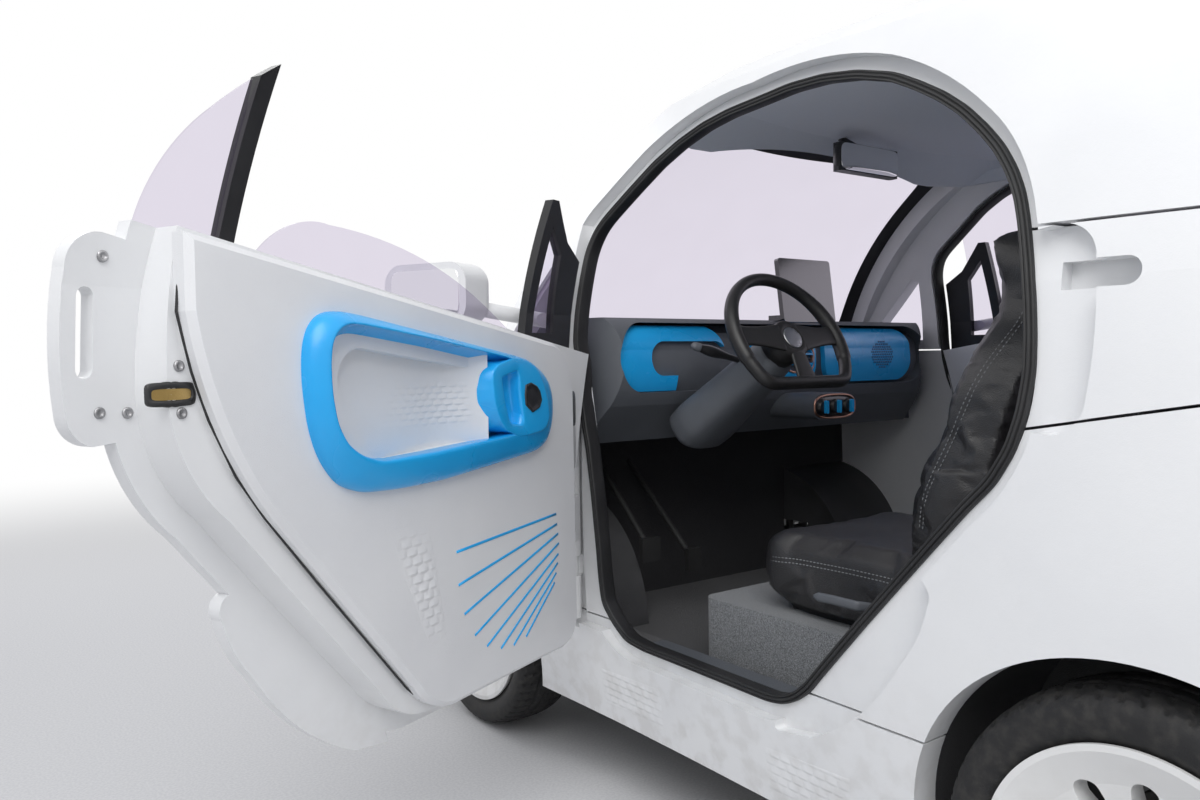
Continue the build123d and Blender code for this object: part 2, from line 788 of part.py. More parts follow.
window_space = common(prism(opening_outline.line, GLASS_INSET), above_belt, behind_hinge)
sail_light_space = prism(sail_light.line)
frame_space = common(joined(prism(sail_outline.line), prism(post_outline.line)), window_space)
frame_room = joined(prism(sail_outline.line, SEAT), prism(post_outline.line, SEAT))
post_front = block(0, HALF_REACH, -END_REACH, 545, BELT_HEIGHT - 200, TOP_REACH)
fixed_panes = joined(
    less(common(pane, window_space), frame_room, post_front),
    common(pane, prism(sail_light.line, -SEAT), above_belt),
)
with BuildPart() as frame_shape:
    add(common(side_loft(FRAME_OUT, foot=100), frame_space))
    add(side_loft(FRAME_OUT + FRAME_DEPTH, foot=100), mode=Mode.SUBTRACT)
    add(sail_light_space, mode=Mode.SUBTRACT)
with BuildPart() as mirror_shape:
    with Locations(MIRROR_CENTRE):
        Box(*MIRROR_SIZE)
    fillet(mirror_shape.edges().filter_by(Axis.Y), radius=MIRROR_SIZE[2] / 3)
    fillet(mirror_shape.faces().sort_by(Axis.Y)[0].edges(), radius=MIRROR_SIZE[1] / 3)
    mirror_foot = (HINGE_X - 15, HINGE_Y + 45, belt_height(HINGE_Y) + 70)
    mirror_end = (MIRROR_CENTRE[0] - 60, MIRROR_CENTRE[1] - 10, MIRROR_CENTRE[2] - 25)
    add(less(rod(mirror_foot, mirror_end, 16), side_loft(FRAME_OUT - SEAT, foot=100)))

lowered_pane = common(pane, prism(lowered_top.line), above_belt)
pillar_side = block(0, HALF_REACH, -END_REACH, PANE_FRONT_Y, 0, TOP_REACH)
raised_pane = less(common(pane, window_space, post_front), frame_room, pillar_side)

# What stands open with the left door, and what the right side has as a mirror image
opened = {
    "door_left": door_shape.part,
    "door_left_trim": trim_shape.part,
    "door_left_armrest": armrest_shape.part,
    "door_left_frames": frame_shape.part,
    "door_left_glass": joined(fixed_panes, lowered_pane),
    "door_left_mirror": mirror_shape.part,
}
mirrored = {
    "door_right": door_shape.part,
    "door_right_trim": trim_shape.part,
    "door_right_armrest": armrest_shape.part,
    "door_right_frames": frame_shape.part,
    "door_right_glass": joined(fixed_panes, raised_pane),
    "door_right_mirror": mirror_shape.part,
}

# Floor, lining and wheel-arch liners inside the walls
lining_outer = body_form(END_WALL + SEAT, WALL + SEAT, foot=100)
wheel_room = wheel_wells(LINER_RADIUS + LINER_GAP, ARCH_INNER_X)
with BuildPart() as headliner:
    add(lining_outer)
    add(body_form(END_WALL + LINING, WALL + LINING, foot=100), mode=Mode.SUBTRACT)
    add(
        block(-HALF_REACH, HALF_REACH, -330, 930, LINING_LOW, TOP_REACH),
        mode=Mode.INTERSECT,
    )
    add(
        end_window(*SCREEN, grow=SCREEN_LAP, near=-END_REACH, far=LINING_FRONT_Y),
        mode=Mode.SUBTRACT,
    )
    add(prism(opening_outline.line, SEAT), mode=Mode.SUBTRACT)

with BuildPart() as floor_pan:
    add(block(-FLOOR_HALF, FLOOR_HALF, -515, BULKHEAD_Y, FLOOR_LOW, FLOOR_TOP))
    add(block(-FOOTWELL_HALF, FOOTWELL_HALF, FIREWALL_Y, -500, FLOOR_LOW, FLOOR_TOP))
    add(block(-FLOOR_HALF, FLOOR_HALF, FIREWALL_Y - SHEET, FIREWALL_Y, FLOOR_LOW, FIREWALL_TOP))
    add(block(-FLOOR_HALF, FLOOR_HALF, BULKHEAD_Y, BULKHEAD_Y + SHEET, FLOOR_LOW, BOOT_FLOOR))
    add(block(-FLOOR_HALF, FLOOR_HALF, BULKHEAD_Y, END_REACH, BOOT_FLOOR - SHEET, BOOT_FLOOR))
    for side in (-1, 1):
        ends = sorted((side * SILL_BOX_X, side * FLOOR_HALF))
        add(block(*ends, -500, BULKHEAD_Y, FLOOR_TOP, SILL_BOX_TOP))
    add(lining_outer, mode=Mode.INTERSECT)
    add(wheel_room, mode=Mode.SUBTRACT)

with BuildPart() as sill_plates:
    for side in (-1, 1):
        ends = sorted((side * (SILL_BOX_X + 8), side * (SILL_BOX_X + 46)))
        add(block(*ends, -190, 330, SILL_BOX_TOP + SEAT, SILL_BOX_TOP + 4, radius=12))

with BuildPart() as wheel_liners:
    add(wheel_wells(LINER_RADIUS, ARCH_INNER_X + LINER_GAP))
    add(
        wheel_wells(LINER_RADIUS - LINER_THICKNESS, ARCH_INNER_X + LINER_GAP + LINER_THICKNESS),
        mode=Mode.SUBTRACT,
    )
    add(block(-HALF_REACH, HALF_REACH, -END_REACH, END_REACH, 0, FOOT_HEIGHT + 15), mode=Mode.SUBTRACT)
    for axle_y in (FRONT_AXLE_Y, REAR_AXLE_Y):
        add(block(-500, 500, axle_y - 170, axle_y + 170, 0, 430), mode=Mode.SUBTRACT)
    for side in (-1, 1):
        damper_low = (side * DAMPER_X, FRONT_AXLE_Y, 500)
        damper_high = (side * DAMPER_X, FRONT_AXLE_Y, 700)
        add(rod(damper_low, damper_high, 36), mode=Mode.SUBTRACT)
    add(lining_outer, mode=Mode.INTERSECT)

# Chassis, power and axles
with BuildPart() as chassis_frame:
    rail_half = RAIL_WIDTH / 2
    cross_half = CROSS_WIDTH / 2
    for y in (RAIL_FRONT_Y + 30, CROSS_FRONT_Y, CROSS_REAR_Y, RAIL_REAR_Y - cross_half):
        add(block(-RAIL_X, RAIL_X, y - cross_half, y + cross_half, RAIL_LOW, FLOOR_LOW - SEAT))
    for side in (-1, 1):
        rail_x = side * RAIL_X
        add(block(rail_x - rail_half, rail_x + rail_half, RAIL_FRONT_Y, RAIL_REAR_Y, RAIL_LOW, RAIL_HIGH))
        for y in (CROSS_FRONT_Y, CROSS_REAR_Y):
            ends = sorted((rail_x, side * OUTRIGGER_END))
            add(block(*ends, y - cross_half, y + cross_half, RAIL_HIGH, FLOOR_LOW - SEAT))
        add(
            block(
                rail_x - rail_half,
                rail_x + rail_half,
                FRONT_AXLE_Y - 30,
                FRONT_AXLE_Y + 30,
                RAIL_LOW,
                TOWER_TOP,
            )
        )
        add(
            block(
                *sorted((rail_x, side * (DAMPER_X + 40))),
                FRONT_AXLE_Y - 30,
                FRONT_AXLE_Y + 30,
                TOWER_TOP - TOWER_PLATE,
                TOWER_TOP,
            )
        )

with BuildPart() as battery_pack:
    battery_rear = CROSS_REAR_Y - CROSS_WIDTH
    add(
        block(
            -BATTERY_HALF,
            BATTERY_HALF,
            BATTERY_FRONT_Y,
            battery_rear,
            RAIL_LOW + CLEAR,
            FLOOR_LOW - SEAT,
            radius=18,
        )
    )

with BuildPart() as rear_axle:
    for half, radius in ((SPINDLE_END, SPINDLE), (TUBE_HALF, AXLE_TUBE), (CASE_HALF, DIFFERENTIAL)):
        add(rod((-half, REAR_AXLE_Y, TYRE_RADIUS), (half, REAR_AXLE_Y, TYRE_RADIUS), radius))
    for side in (-1, 1):
        hub_inner = (side * 530, REAR_AXLE_Y, TYRE_RADIUS)
        hub_outer = (side * 562, REAR_AXLE_Y, TYRE_RADIUS)
        add(rod(hub_inner, hub_outer, DISC_RADIUS))
        spring_x = side * SPRING_X
        perch = (spring_x, REAR_AXLE_Y, TYRE_RADIUS)
        add(rod(perch, (spring_x, REAR_AXLE_Y, BOOT_FLOOR - SHEET - SEAT), 16))
        spring_low = (spring_x, REAR_AXLE_Y, TYRE_RADIUS + 60)
        add(rod(spring_low, (spring_x, REAR_AXLE_Y, BOOT_FLOOR - SHEET - 30), SPRING_RADIUS))
        link_x = side * (RAIL_X + RAIL_WIDTH / 2 + LINK_RADIUS + CLEAR)
        link_end = (link_x, LINK_FRONT_Y, (RAIL_LOW + RAIL_HIGH) / 2)
        add(rod((link_x, REAR_AXLE_Y, TYRE_RADIUS), link_end, LINK_RADIUS))
        add(rod(link_end, (side * (RAIL_X + RAIL_WIDTH / 2 + SEAT), *link_end[1:]), LINK_PIN))

with BuildPart() as drive_motor:
    motor_y = REAR_AXLE_Y + DIFFERENTIAL + MOTOR_RADIUS + CLEAR
    motor_z = TYRE_RADIUS + 10
    add(rod((-130, motor_y, motor_z), (130, motor_y, motor_z), MOTOR_RADIUS))
    add(block(-60, 60, REAR_AXLE_Y + DIFFERENTIAL + SEAT, motor_y, motor_z - 60, motor_z + 40))

with BuildPart() as front_suspension:
    arm_start = RAIL_X + RAIL_WIDTH / 2 + SEAT
    arm_low = KNUCKLE_LOW - ARM_DROP
    arm_top = KNUCKLE_TOP + ARM_DROP
    damper_top = TOWER_TOP - TOWER_PLATE - 4 * SEAT
    for side in (-1, 1):
        pin_x = side * KINGPIN_X
        damper_x = side * DAMPER_X
        for spread in (-90, 90):
            arm_inner = (side * (arm_start + CLEAR), FRONT_AXLE_Y + spread, arm_low)
            add(rod(arm_inner, (pin_x, FRONT_AXLE_Y, arm_low), 11))
        add(rod((side * arm_start, FRONT_AXLE_Y, arm_top), (pin_x, FRONT_AXLE_Y, arm_top), 10))
        for end, seat, radius in (
            (arm_low - 12, KNUCKLE_LOW - SEAT, 17),
            (KNUCKLE_TOP + SEAT, arm_top + 12, 15),
        ):
            add(rod((pin_x, FRONT_AXLE_Y, end), (pin_x, FRONT_AXLE_Y, seat), radius))
        damper_foot = (damper_x, FRONT_AXLE_Y + 30, arm_low)
        add(rod(damper_foot, (damper_x, FRONT_AXLE_Y, damper_top), 12))
        bar_rear = (damper_x, FRONT_AXLE_Y + 45, arm_low)
        add(rod((damper_x, FRONT_AXLE_Y - 45, arm_low), bar_rear, 10))

with BuildPart() as knuckle_shape:
    add(
        block(
            KINGPIN_X - 20,
            KINGPIN_X + 20,
            FRONT_AXLE_Y - 24,
            FRONT_AXLE_Y + 24,
            KNUCKLE_LOW,
            KNUCKLE_TOP,
            radius=8,
        )
    )
    add(rod((KINGPIN_X, FRONT_AXLE_Y, TYRE_RADIUS), (SPINDLE_END, FRONT_AXLE_Y, TYRE_RADIUS), SPINDLE))
    disc_inner = (KINGPIN_X + 20, FRONT_AXLE_Y, TYRE_RADIUS)
    add(rod(disc_inner, (KINGPIN_X + 34, FRONT_AXLE_Y, TYRE_RADIUS), DISC_RADIUS))
    arm_z = TYRE_RADIUS - 50
    add(rod((KINGPIN_X, FRONT_AXLE_Y, arm_z), (KINGPIN_X - 25, FRONT_AXLE_Y + 120, arm_z), 11))
with BuildPart() as front_knuckle_left:
    add(knuckle_shape.part)
with BuildPart() as front_knuckle_right:
    add(other_side(knuckle_shape.part))

# Wheels, turned in a plane whose X is the radius and whose Y points outwards
with BuildPart() as tyre_shape:
    with BuildSketch(Plane(origin=(0, 0, 0), x_dir=(0, 0, 1), z_dir=(0, 1, 0))):
        with BuildLine():
            tread_half = TYRE_WIDTH / 2 - 8
            tread_edge = TYRE_RADIUS - TYRE_SHOULDER
            bulge_radius = TYRE_BEAD_RADIUS + 40
            bead_half = TYRE_WIDTH / 2 - 24
            ThreePointArc((tread_edge, -tread_half), (TYRE_RADIUS, 0), (tread_edge, tread_half))
            ThreePointArc(
                (tread_edge, tread_half), (bulge_radius, TYRE_WIDTH / 2), (TYRE_BEAD_RADIUS, bead_half)
            )
            Line((TYRE_BEAD_RADIUS, bead_half), (TYRE_BEAD_RADIUS, -bead_half))
            ThreePointArc(
                (TYRE_BEAD_RADIUS, -bead_half), (bulge_radius, -TYRE_WIDTH / 2), (tread_edge, -tread_half)
            )
        make_face()
    revolve(axis=Axis.X)

with BuildPart() as rim_shape:
    rim_half = RIM_WIDTH / 2
    bead_seat = TYRE_BEAD_RADIUS - SEAT
    barrel_inner = bead_seat - RIM_BARREL
    with BuildSketch(Plane(origin=(0, 0, 0), x_dir=(0, 0, 1), z_dir=(0, 1, 0))):
        with BuildLine():
            Polyline(
                (SPINDLE + SEAT, -20),
                (SPINDLE + SEAT, 34),
                (70, 40),
                (150, 56),
                (bead_seat, rim_half + RIM_FLANGE),
                (RIM_RADIUS, rim_half + RIM_FLANGE),
                (RIM_RADIUS, rim_half + 2),
                (bead_seat, rim_half - 6),
                (bead_seat, 6 - rim_half),
                (RIM_RADIUS, -rim_half - 2),
                (RIM_RADIUS, -rim_half - RIM_FLANGE),
                (barrel_inner, -rim_half - 2),
                (barrel_inner, 20),
                (140, 22),
                (60, -20),
                close=True,
            )
        make_face()
    revolve(axis=Axis.X)
    with BuildSketch(Plane.YZ.offset(-rim_half)):
        with PolarLocations(POCKET_RING, RIM_SPOKES):
            SlotOverall(POCKET_LENGTH, POCKET_WIDTH)
    extrude(amount=2 * rim_half + 2 * RIM_FLANGE, mode=Mode.SUBTRACT)

wheels = {}
for end, axle_y in (("front", FRONT_AXLE_Y), ("rear", REAR_AXLE_Y)):
    for hand, side in (("left", 1), ("right", -1)):
        place = Location((side * TRACK / 2, axle_y, TYRE_RADIUS))
        turn = Location((0, 0, 0), (0, 0, 90 - 90 * side))
        with BuildPart() as tyre:
            add(tyre_shape.part.moved(place * turn))
        with BuildPart() as rim:
            add(rim_shape.part.moved(place * turn))
        wheels["tyre_" + end + "_" + hand] = tyre
        wheels["rim_" + end + "_" + hand] = rim

# Dashboard and what stands on it
with BuildLine() as dash_outline:
    Line((-745, 860), (-745, 985))
    ThreePointArc((-745, 985), (-685, 1036), (-600, 1060))
    Line((-600, 1060), (-415, 1060))
    ThreePointArc((-415, 1060), (-387, 1030), (-376, 985))
    ThreePointArc((-376, 985), (-376, 915), (-400, 850))
    Line((-400, 850), (-470, 760))
    Line((-470, 760), (-640, 760))
    Line((-640, 760), (-745, 860))


def front_plate(x, z, width, height, radius, near=DASH_FRONT_Y, far=DASH_REAR_Y):
    """A round-cornered upright plate seen from the seats, drawn out along Y."""
    with BuildPart() as plate:
        with BuildSketch(Plane.XZ.offset(-near)):
            with Locations((x, z)):
                RectangleRounded(width, height, radius)
        extrude(amount=near - far)
    return plate.part


dash_body = prism(dash_outline.line, 0, -DASH_HALF, DASH_HALF)
band_plate = front_plate(*BAND_CENTRE, *BAND_SIZE, BAND_RADIUS)
band_bed = prism(dash_outline.line, -BAND_DEPTH)
with BuildPart() as dashboard:
    add(dash_body)
    add(body_form(END_WALL + CLEAR, WALL + SEAT, foot=100), mode=Mode.INTERSECT)
    add(wheel_room, mode=Mode.SUBTRACT)
    for side in (-1, 1):
        ends = sorted((side * (trim_face - CLEAR), side * HALF_REACH))
        add(prism(opening_outline.line, CLEAR, *ends), mode=Mode.SUBTRACT)
    corners = joined(
        block(-DASH_HALF, DASH_HALF, -HALF_REACH, DASH_SHOULDER_Y, 0, TOP_REACH),
        block(
            -DASH_CORNER_X,
            DASH_CORNER_X,
            -HALF_REACH,
            DASH_REAR_Y,
            0,
            TOP_REACH,
            radius=DASH_CORNER_RADIUS,
        ),
    )
    add(corners, mode=Mode.INTERSECT)
    add(less(band_plate, band_bed), mode=Mode.SUBTRACT)
    add(
        front_plate(
            *CLIMATE_CENTRE, *CLIMATE_SIZE, CLIMATE_SIZE[1] / 2 - 1, near=DASH_SHOULDER_Y, far=CLIMATE_Y
        )
    )

insert_skin = less(
    prism(dash_outline.line, INSERT_DEPTH - BAND_DEPTH), prism(dash_outline.line, SEAT - BAND_DEPTH)
)
with BuildPart() as dash_inserts:
    add(
        less(
            front_plate(*LEFT_INSERT),
            front_plate(*LEFT_POCKET),
            block(0, LEFT_INSERT_TAIL_X, -HALF_REACH, HALF_REACH, 0, LEFT_POCKET[1]),
        )
    )
    add(less(front_plate(*VENT_PLATE), *[front_plate(*vent, vent[3] / 2 - 1) for vent in VENTS]))
    for x, z, width, height in VENTS:
        for rise in (-height / 5, height / 5):
            add(front_plate(x, z + rise, width + VENT_BLADE, VENT_BLADE, VENT_BLADE / 2 - 0.1))
    add(front_plate(*RIGHT_INSERT))
    add(insert_skin, mode=Mode.INTERSECT)
    bar_size = (9, 2 * KNOB_RADIUS - 2, 4)
    for step in (-1, 0, 1):
        knob_x = CLIMATE_CENTRE[0] + step * KNOB_SPACING
        knob_z = CLIMATE_CENTRE[1]
        knob_base = (knob_x, CLIMATE_Y + SEAT, knob_z)
        add(rod(knob_base, (knob_x, CLIMATE_Y + KNOB_DEPTH, knob_z), KNOB_RADIUS))
        bar_near = CLIMATE_Y + KNOB_DEPTH / 2
        add(front_plate(knob_x, knob_z, *bar_size, near=bar_near, far=bar_near + 2 * KNOB_DEPTH))

with BuildPart() as centre_screen:
    with BuildSketch(Plane(origin=(-20, -338, 1136), x_dir=(1, 0, 0), z_dir=(0, 1, 0.14))):
        RectangleRounded(200, 168, 8)
    extrude(amount=-14)
    add(block(-50, 10, -450, -338, 1060 + SEAT, 1074))

steering_axis = Vector(0, math.cos(math.radians(WHEEL_TILT)), math.sin(math.radians(WHEEL_TILT)))
wheel_face = Plane(origin=WHEEL_CENTRE, x_dir=(-1, 0, 0), z_dir=steering_axis)
with BuildPart() as steering_column:
    with BuildSketch(wheel_face.offset(-COLUMN_GAP)):
        RectangleRounded(110, 100, 30)
    with BuildSketch(wheel_face.offset(-COLUMN_GAP - COLUMN_LENGTH)):
        with Locations((0, -25)):
            RectangleRounded(190, 140, 30)
    loft()
    add(less(prism(dash_outline.line, SEAT), band_plate), mode=Mode.SUBTRACT)
    add(prism(dash_outline.line, INSERT_DEPTH - BAND_DEPTH + SEAT), mode=Mode.SUBTRACT)
    add(rod((360, -180, 960), (505, -205, 990), 7))

with BuildPart() as steering_wheel:
    with BuildLine(wheel_face) as grip_path:
        right_end = (
            WHEEL_RADIUS * math.sin(math.radians(WHEEL_FLAT_ANGLE)),
            -WHEEL_RADIUS * math.cos(math.radians(WHEEL_FLAT_ANGLE)),
        )
        left_end = (-right_end[0], right_end[1])
        ThreePointArc(right_end, (0, WHEEL_RADIUS), left_end)
        Line(left_end, right_end)
        fillet(grip_path.vertices(), radius=35)
    with BuildSketch(Plane(origin=grip_path.line @ 0, z_dir=grip_path.line % 0)):
        Circle(WHEEL_GRIP)
    sweep(path=grip_path.line)
    with BuildSketch(wheel_face.offset(SEAT - COLUMN_GAP)):
        Circle(HUB_RADIUS)
    extrude(amount=COLUMN_GAP + 6)
    for angle in (5, 175, 270):
        reach_x = math.cos(math.radians(angle))
        reach_y = math.sin(math.radians(angle))
        spoke_length = -left_end[1] if angle == 270 else WHEEL_RADIUS
        spoke_start = wheel_face.from_local_coords(Vector(30 * reach_x, 30 * reach_y, 0))
        spoke_tip = Vector(spoke_length * reach_x, spoke_length * reach_y, 0)
        spoke_end = wheel_face.from_local_coords(spoke_tip)
        add(rod(tuple(spoke_start), tuple(spoke_end), 11))

with BuildPart() as pedals:
    for x, y, z, width in ((380, -520, 470, 60), (250, -500, 430, 45)):
        add(rod((x, y, z), (x, FIREWALL_Y, z + 240), 8))
        add(block(x - width / 2, x + width / 2, y - 4, y + 10, z - 30, z + 30))
    add(
        block(-HALF_REACH, HALF_REACH, FIREWALL_Y + SEAT, END_REACH, 0, TOP_REACH),
        mode=Mode.INTERSECT,
    )

# Seats
with BuildPart() as seat_boxes:
    for side in (-1, 1):
        x = side * SEAT_X
        near, far = x - SEAT_BOX_HALF, x + SEAT_BOX_HALF
        add(block(near, far, -120, 560, FLOOR_TOP + SEAT, SEAT_BOX_TOP, radius=30))
    add(wheel_room, mode=Mode.SUBTRACT)

with BuildPart() as seat_cushions:
    for side in (-1, 1):
        x = side * SEAT_X
        add(block(x - CUSHION_HALF, x + CUSHION_HALF, 5, 430, CUSHION_LOW, CUSHION_TOP, radius=60))
    fillet(seat_cushions.faces().filter_by(Axis.Z).group_by(Axis.Z)[-1].edges(), radius=CUSHION_EDGE)
    for side in (-1, 1):
        x = side * SEAT_X
        add(block(x - 170, x + 170, 60, 380, SEAT_BOX_TOP + SEAT, CUSHION_LOW))

# Seat back, seen from the side and from the front: bolsters, neck and headrest in one
with BuildLine() as back_side:
    Line((340, CUSHION_TOP + SEAT), (455, CUSHION_TOP + SEAT))
    ThreePointArc((455, CUSHION_TOP + SEAT), (540, 800), (592, 1000))
    ThreePointArc((592, 1000), (590, 1090), (545, 1165))
    ThreePointArc((545, 1165), (500, 1184), (455, 1160))
    ThreePointArc((455, 1160), (486, 1100), (497, 1036))
    ThreePointArc((497, 1036), (473, 930), (434, 821))
    ThreePointArc((434, 821), (380, 705), (340, CUSHION_TOP + SEAT))
with BuildPart() as back_front:
    with BuildSketch(Plane.XZ.offset(-BULKHEAD_Y - SHEET)):
        with BuildLine():
            Line((0, CUSHION_TOP), (190, CUSHION_TOP))
            ThreePointArc((190, CUSHION_TOP), (BACK_HALF + 14, 700), (BACK_HALF + 10, 830))
            ThreePointArc((BACK_HALF + 10, 830), (BACK_HALF, 930), (165, 1010))
            ThreePointArc((165, 1010), (138, 1055), (134, 1105))
            ThreePointArc((134, 1105), (112, 1165), (50, 1186))
            Line((50, 1186), (0, 1186))
            mirror(about=Plane.YZ)
        make_face()
    extrude(amount=2 * BACK_HALF)
back_reach = BACK_HALF + WALL
seat_back = common(prism(back_side.line, 0, -back_reach, back_reach), back_front.part)
with BuildPart() as seat_backs:
    for side in (-1, 1):
        add(seat_back.moved(Location((side * SEAT_X, 0, 0))))

with BuildPart() as cabin_mirror:
    add(block(-115, 105, -150, -122, 1405, 1472, radius=8))
    add(rod((0, -136, 1460), (0, -244, 1530), 8))
    add(body_form(END_WALL + LINING + SEAT, WALL + LINING + SEAT, foot=100), mode=Mode.INTERSECT)


def above_screen(x, z, rise):
    """A point over the windscreen's surface, that far out along the cab barrel's radius."""
    axis_y, axis_z, radius, crown = CAB_BARREL
    reach = radius - (crown - math.sqrt(crown**2 - x**2)) + rise
    angle = math.asin((z - axis_z) / radius)
    return (x, axis_y - reach * math.cos(angle), axis_z + reach * math.sin(angle))


with BuildPart() as wiper:
    add(rod(above_screen(80, 978, 1), above_screen(80, 978, 30), 14))
    add(rod(above_screen(80, 978, 22), above_screen(-150, 1060, 24), 6))
    add(rod(above_screen(40, 1050, 22), above_screen(-340, 1075, 22), 5))

pieces = {
    "body_shell": body_shell,
    "rear_quarters": rear_quarters,
    "rear_body": rear_body,
    "front_body": front_body,
    "side_sills": side_sills,
    "bonnet": bonnet,
    "tailgate": tailgate,
    "tailgate_glass": tailgate_glass,
    "fixed_glass": fixed_glass,
    "headlamps": headlamps,
    "tail_lamps": tail_lamps,
    "door_seals": door_seals,
    "headliner": headliner,
    "floor_pan": floor_pan,
    "sill_plates": sill_plates,
    "wheel_liners": wheel_liners,
    "chassis_frame": chassis_frame,
    "battery_pack": battery_pack,
    "drive_motor": drive_motor,
    "rear_axle": rear_axle,
    "front_suspension": front_suspension,
    "front_knuckle_left": front_knuckle_left,
    "front_knuckle_right": front_knuckle_right,
    "dashboard": dashboard,
    "dash_inserts": dash_inserts,
    "centre_screen": centre_screen,
    "steering_column": steering_column,
    "steering_wheel": steering_wheel,
    "pedals": pedals,
    "seat_boxes": seat_boxes,
    "seat_cushions": seat_cushions,
    "seat_backs": seat_backs,
    "cabin_mirror": cabin_mirror,
    "wiper": wiper,
    **wheels,
}

# Move everything so that the origin is under the middle of the whole car's box
open_turn = Axis((HINGE_X, HINGE_Y, 0), (0, 0, 1))
shapes = {name: piece.part for name, piece in pieces.items()}
for name, shape in opened.items():
    shapes[name] = shape.rotate(open_turn, -DOOR_OPEN_ANGLE)
boxes = [shape.bounding_box() for shape in [*shapes.values(), *map(other_side, mirrored.values())]]
middle_x = (min(box.min.X for box in boxes) + max(box.max.X for box in boxes)) / 2
middle_y = (min(box.min.Y for box in boxes) + max(box.max.Y for box in boxes)) / 2
ground = min(box.min.Z for box in boxes)
shift_x, shift_y, shift_z = -round(middle_x), -round(middle_y), -round(ground)
placed = {name: shape.moved(Location((shift_x, shift_y, shift_z))) for name, shape in shapes.items()}
for name, shape in mirrored.items():
    placed[name] = shape.moved(Location((-shift_x, shift_y, shift_z))).mirror(Plane.YZ)
for name, shape in placed.items():
    shape.label = name
    export_step(shape, "parts/" + name + ".step")
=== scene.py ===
import math

import bmesh
import bpy
import numpy as np
from mathutils import Matrix, Vector
from mathutils.bvhtree import BVHTree


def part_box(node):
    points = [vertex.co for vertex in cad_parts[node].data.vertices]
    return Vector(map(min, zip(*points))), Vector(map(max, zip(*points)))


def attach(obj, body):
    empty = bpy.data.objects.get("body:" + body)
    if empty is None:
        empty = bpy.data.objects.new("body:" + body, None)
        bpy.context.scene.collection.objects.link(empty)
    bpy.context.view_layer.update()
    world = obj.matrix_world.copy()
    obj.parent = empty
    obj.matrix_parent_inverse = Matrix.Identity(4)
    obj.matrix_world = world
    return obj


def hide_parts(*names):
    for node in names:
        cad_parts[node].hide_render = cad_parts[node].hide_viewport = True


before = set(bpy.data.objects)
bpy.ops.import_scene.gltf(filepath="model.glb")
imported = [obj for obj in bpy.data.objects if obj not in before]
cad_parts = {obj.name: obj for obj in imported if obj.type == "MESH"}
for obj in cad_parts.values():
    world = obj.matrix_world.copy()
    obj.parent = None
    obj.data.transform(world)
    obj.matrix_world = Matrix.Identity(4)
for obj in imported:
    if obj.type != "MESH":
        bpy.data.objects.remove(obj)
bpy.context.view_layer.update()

# The ground and the light. The car stands on a pale studio floor under a large soft lamp on the driver's
# side, two weaker ones on the other side and ahead, and an even white room all round.
MIDDLE_X = (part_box("tyre_rear_left")[1].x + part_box("tyre_rear_right")[0].x) / 2
EYE = Vector((MIDDLE_X + 1.916, 1.374, 0.967))
TURN, DIP, ROLL = 0.631, 0.045, 0.013
FOCUS_PX, FRAME_PX = 949, 1200


class Wire:
    """A socket in a finish: arithmetic on it adds Math nodes, and node() adds any other node to its tree."""

    def __init__(self, socket):
        self.socket = socket

    def node(self, kind, settings=None, out=0, **inputs):
        """A node of that kind: its settings first, then its sockets by name, given a value or a Wire."""
        tree = self.socket.id_data
        made = tree.nodes.new("ShaderNode" + kind)
        for key, value in (settings or {}).items():
            setattr(made, key, value)
        for key, value in inputs.items():
            place = made.inputs[int(key[2:])] if key.startswith("in") and key[2:].isdigit() else \
                made.inputs[key.replace("_", " ")]
            if isinstance(value, Wire):
                tree.links.new(value.socket, place)
            else:
                place.default_value = value
        return Wire(made.outputs[out])

    def sum_of(self, operation, *others):
        """A Math node on this value and the others."""
        return self.node("Math", {"operation": operation},
                         **{"in%d" % i: v for i, v in enumerate((self,) + others)})

    def __add__(self, other):
        return self.sum_of("ADD", other)

    def __radd__(self, other):
        return self.sum_of("ADD", other)

    def __rsub__(self, other):
        return (self * -1) + other

    def __mul__(self, other):
        return self.sum_of("MULTIPLY", other)

    def __rmul__(self, other):
        return self.sum_of("MULTIPLY", other)

    def clip(self, low, high):
        """The value's place between low and high, as 0 to 1, with a soft start and end."""
        return self.node("MapRange", {"interpolation_type": "SMOOTHSTEP"}, Value=self, in1=low, in2=high)

    def blend(self, first, second):
        """The colour first where this is 0 and second where it is 1."""
        ends = [end if isinstance(end, Wire) else (*end, 1) for end in (first, second)]
        return self.node("Mix", {"data_type": "RGBA"}, 2, in0=self, in6=ends[0], in7=ends[1])


def link_to(wire, node, name):
    """Leads a wire to the named socket of a node that is there already."""
    wire.socket.id_data.links.new(wire.socket, node.inputs[name])


def put(piece, materials=()):
    """The piece, a mesh or lamp data block, as an object in the scene."""
    made = bpy.data.objects.new(piece.name, piece)
    bpy.context.scene.collection.objects.link(made)
    for material in materials:
        piece.materials.append(material)
    return made


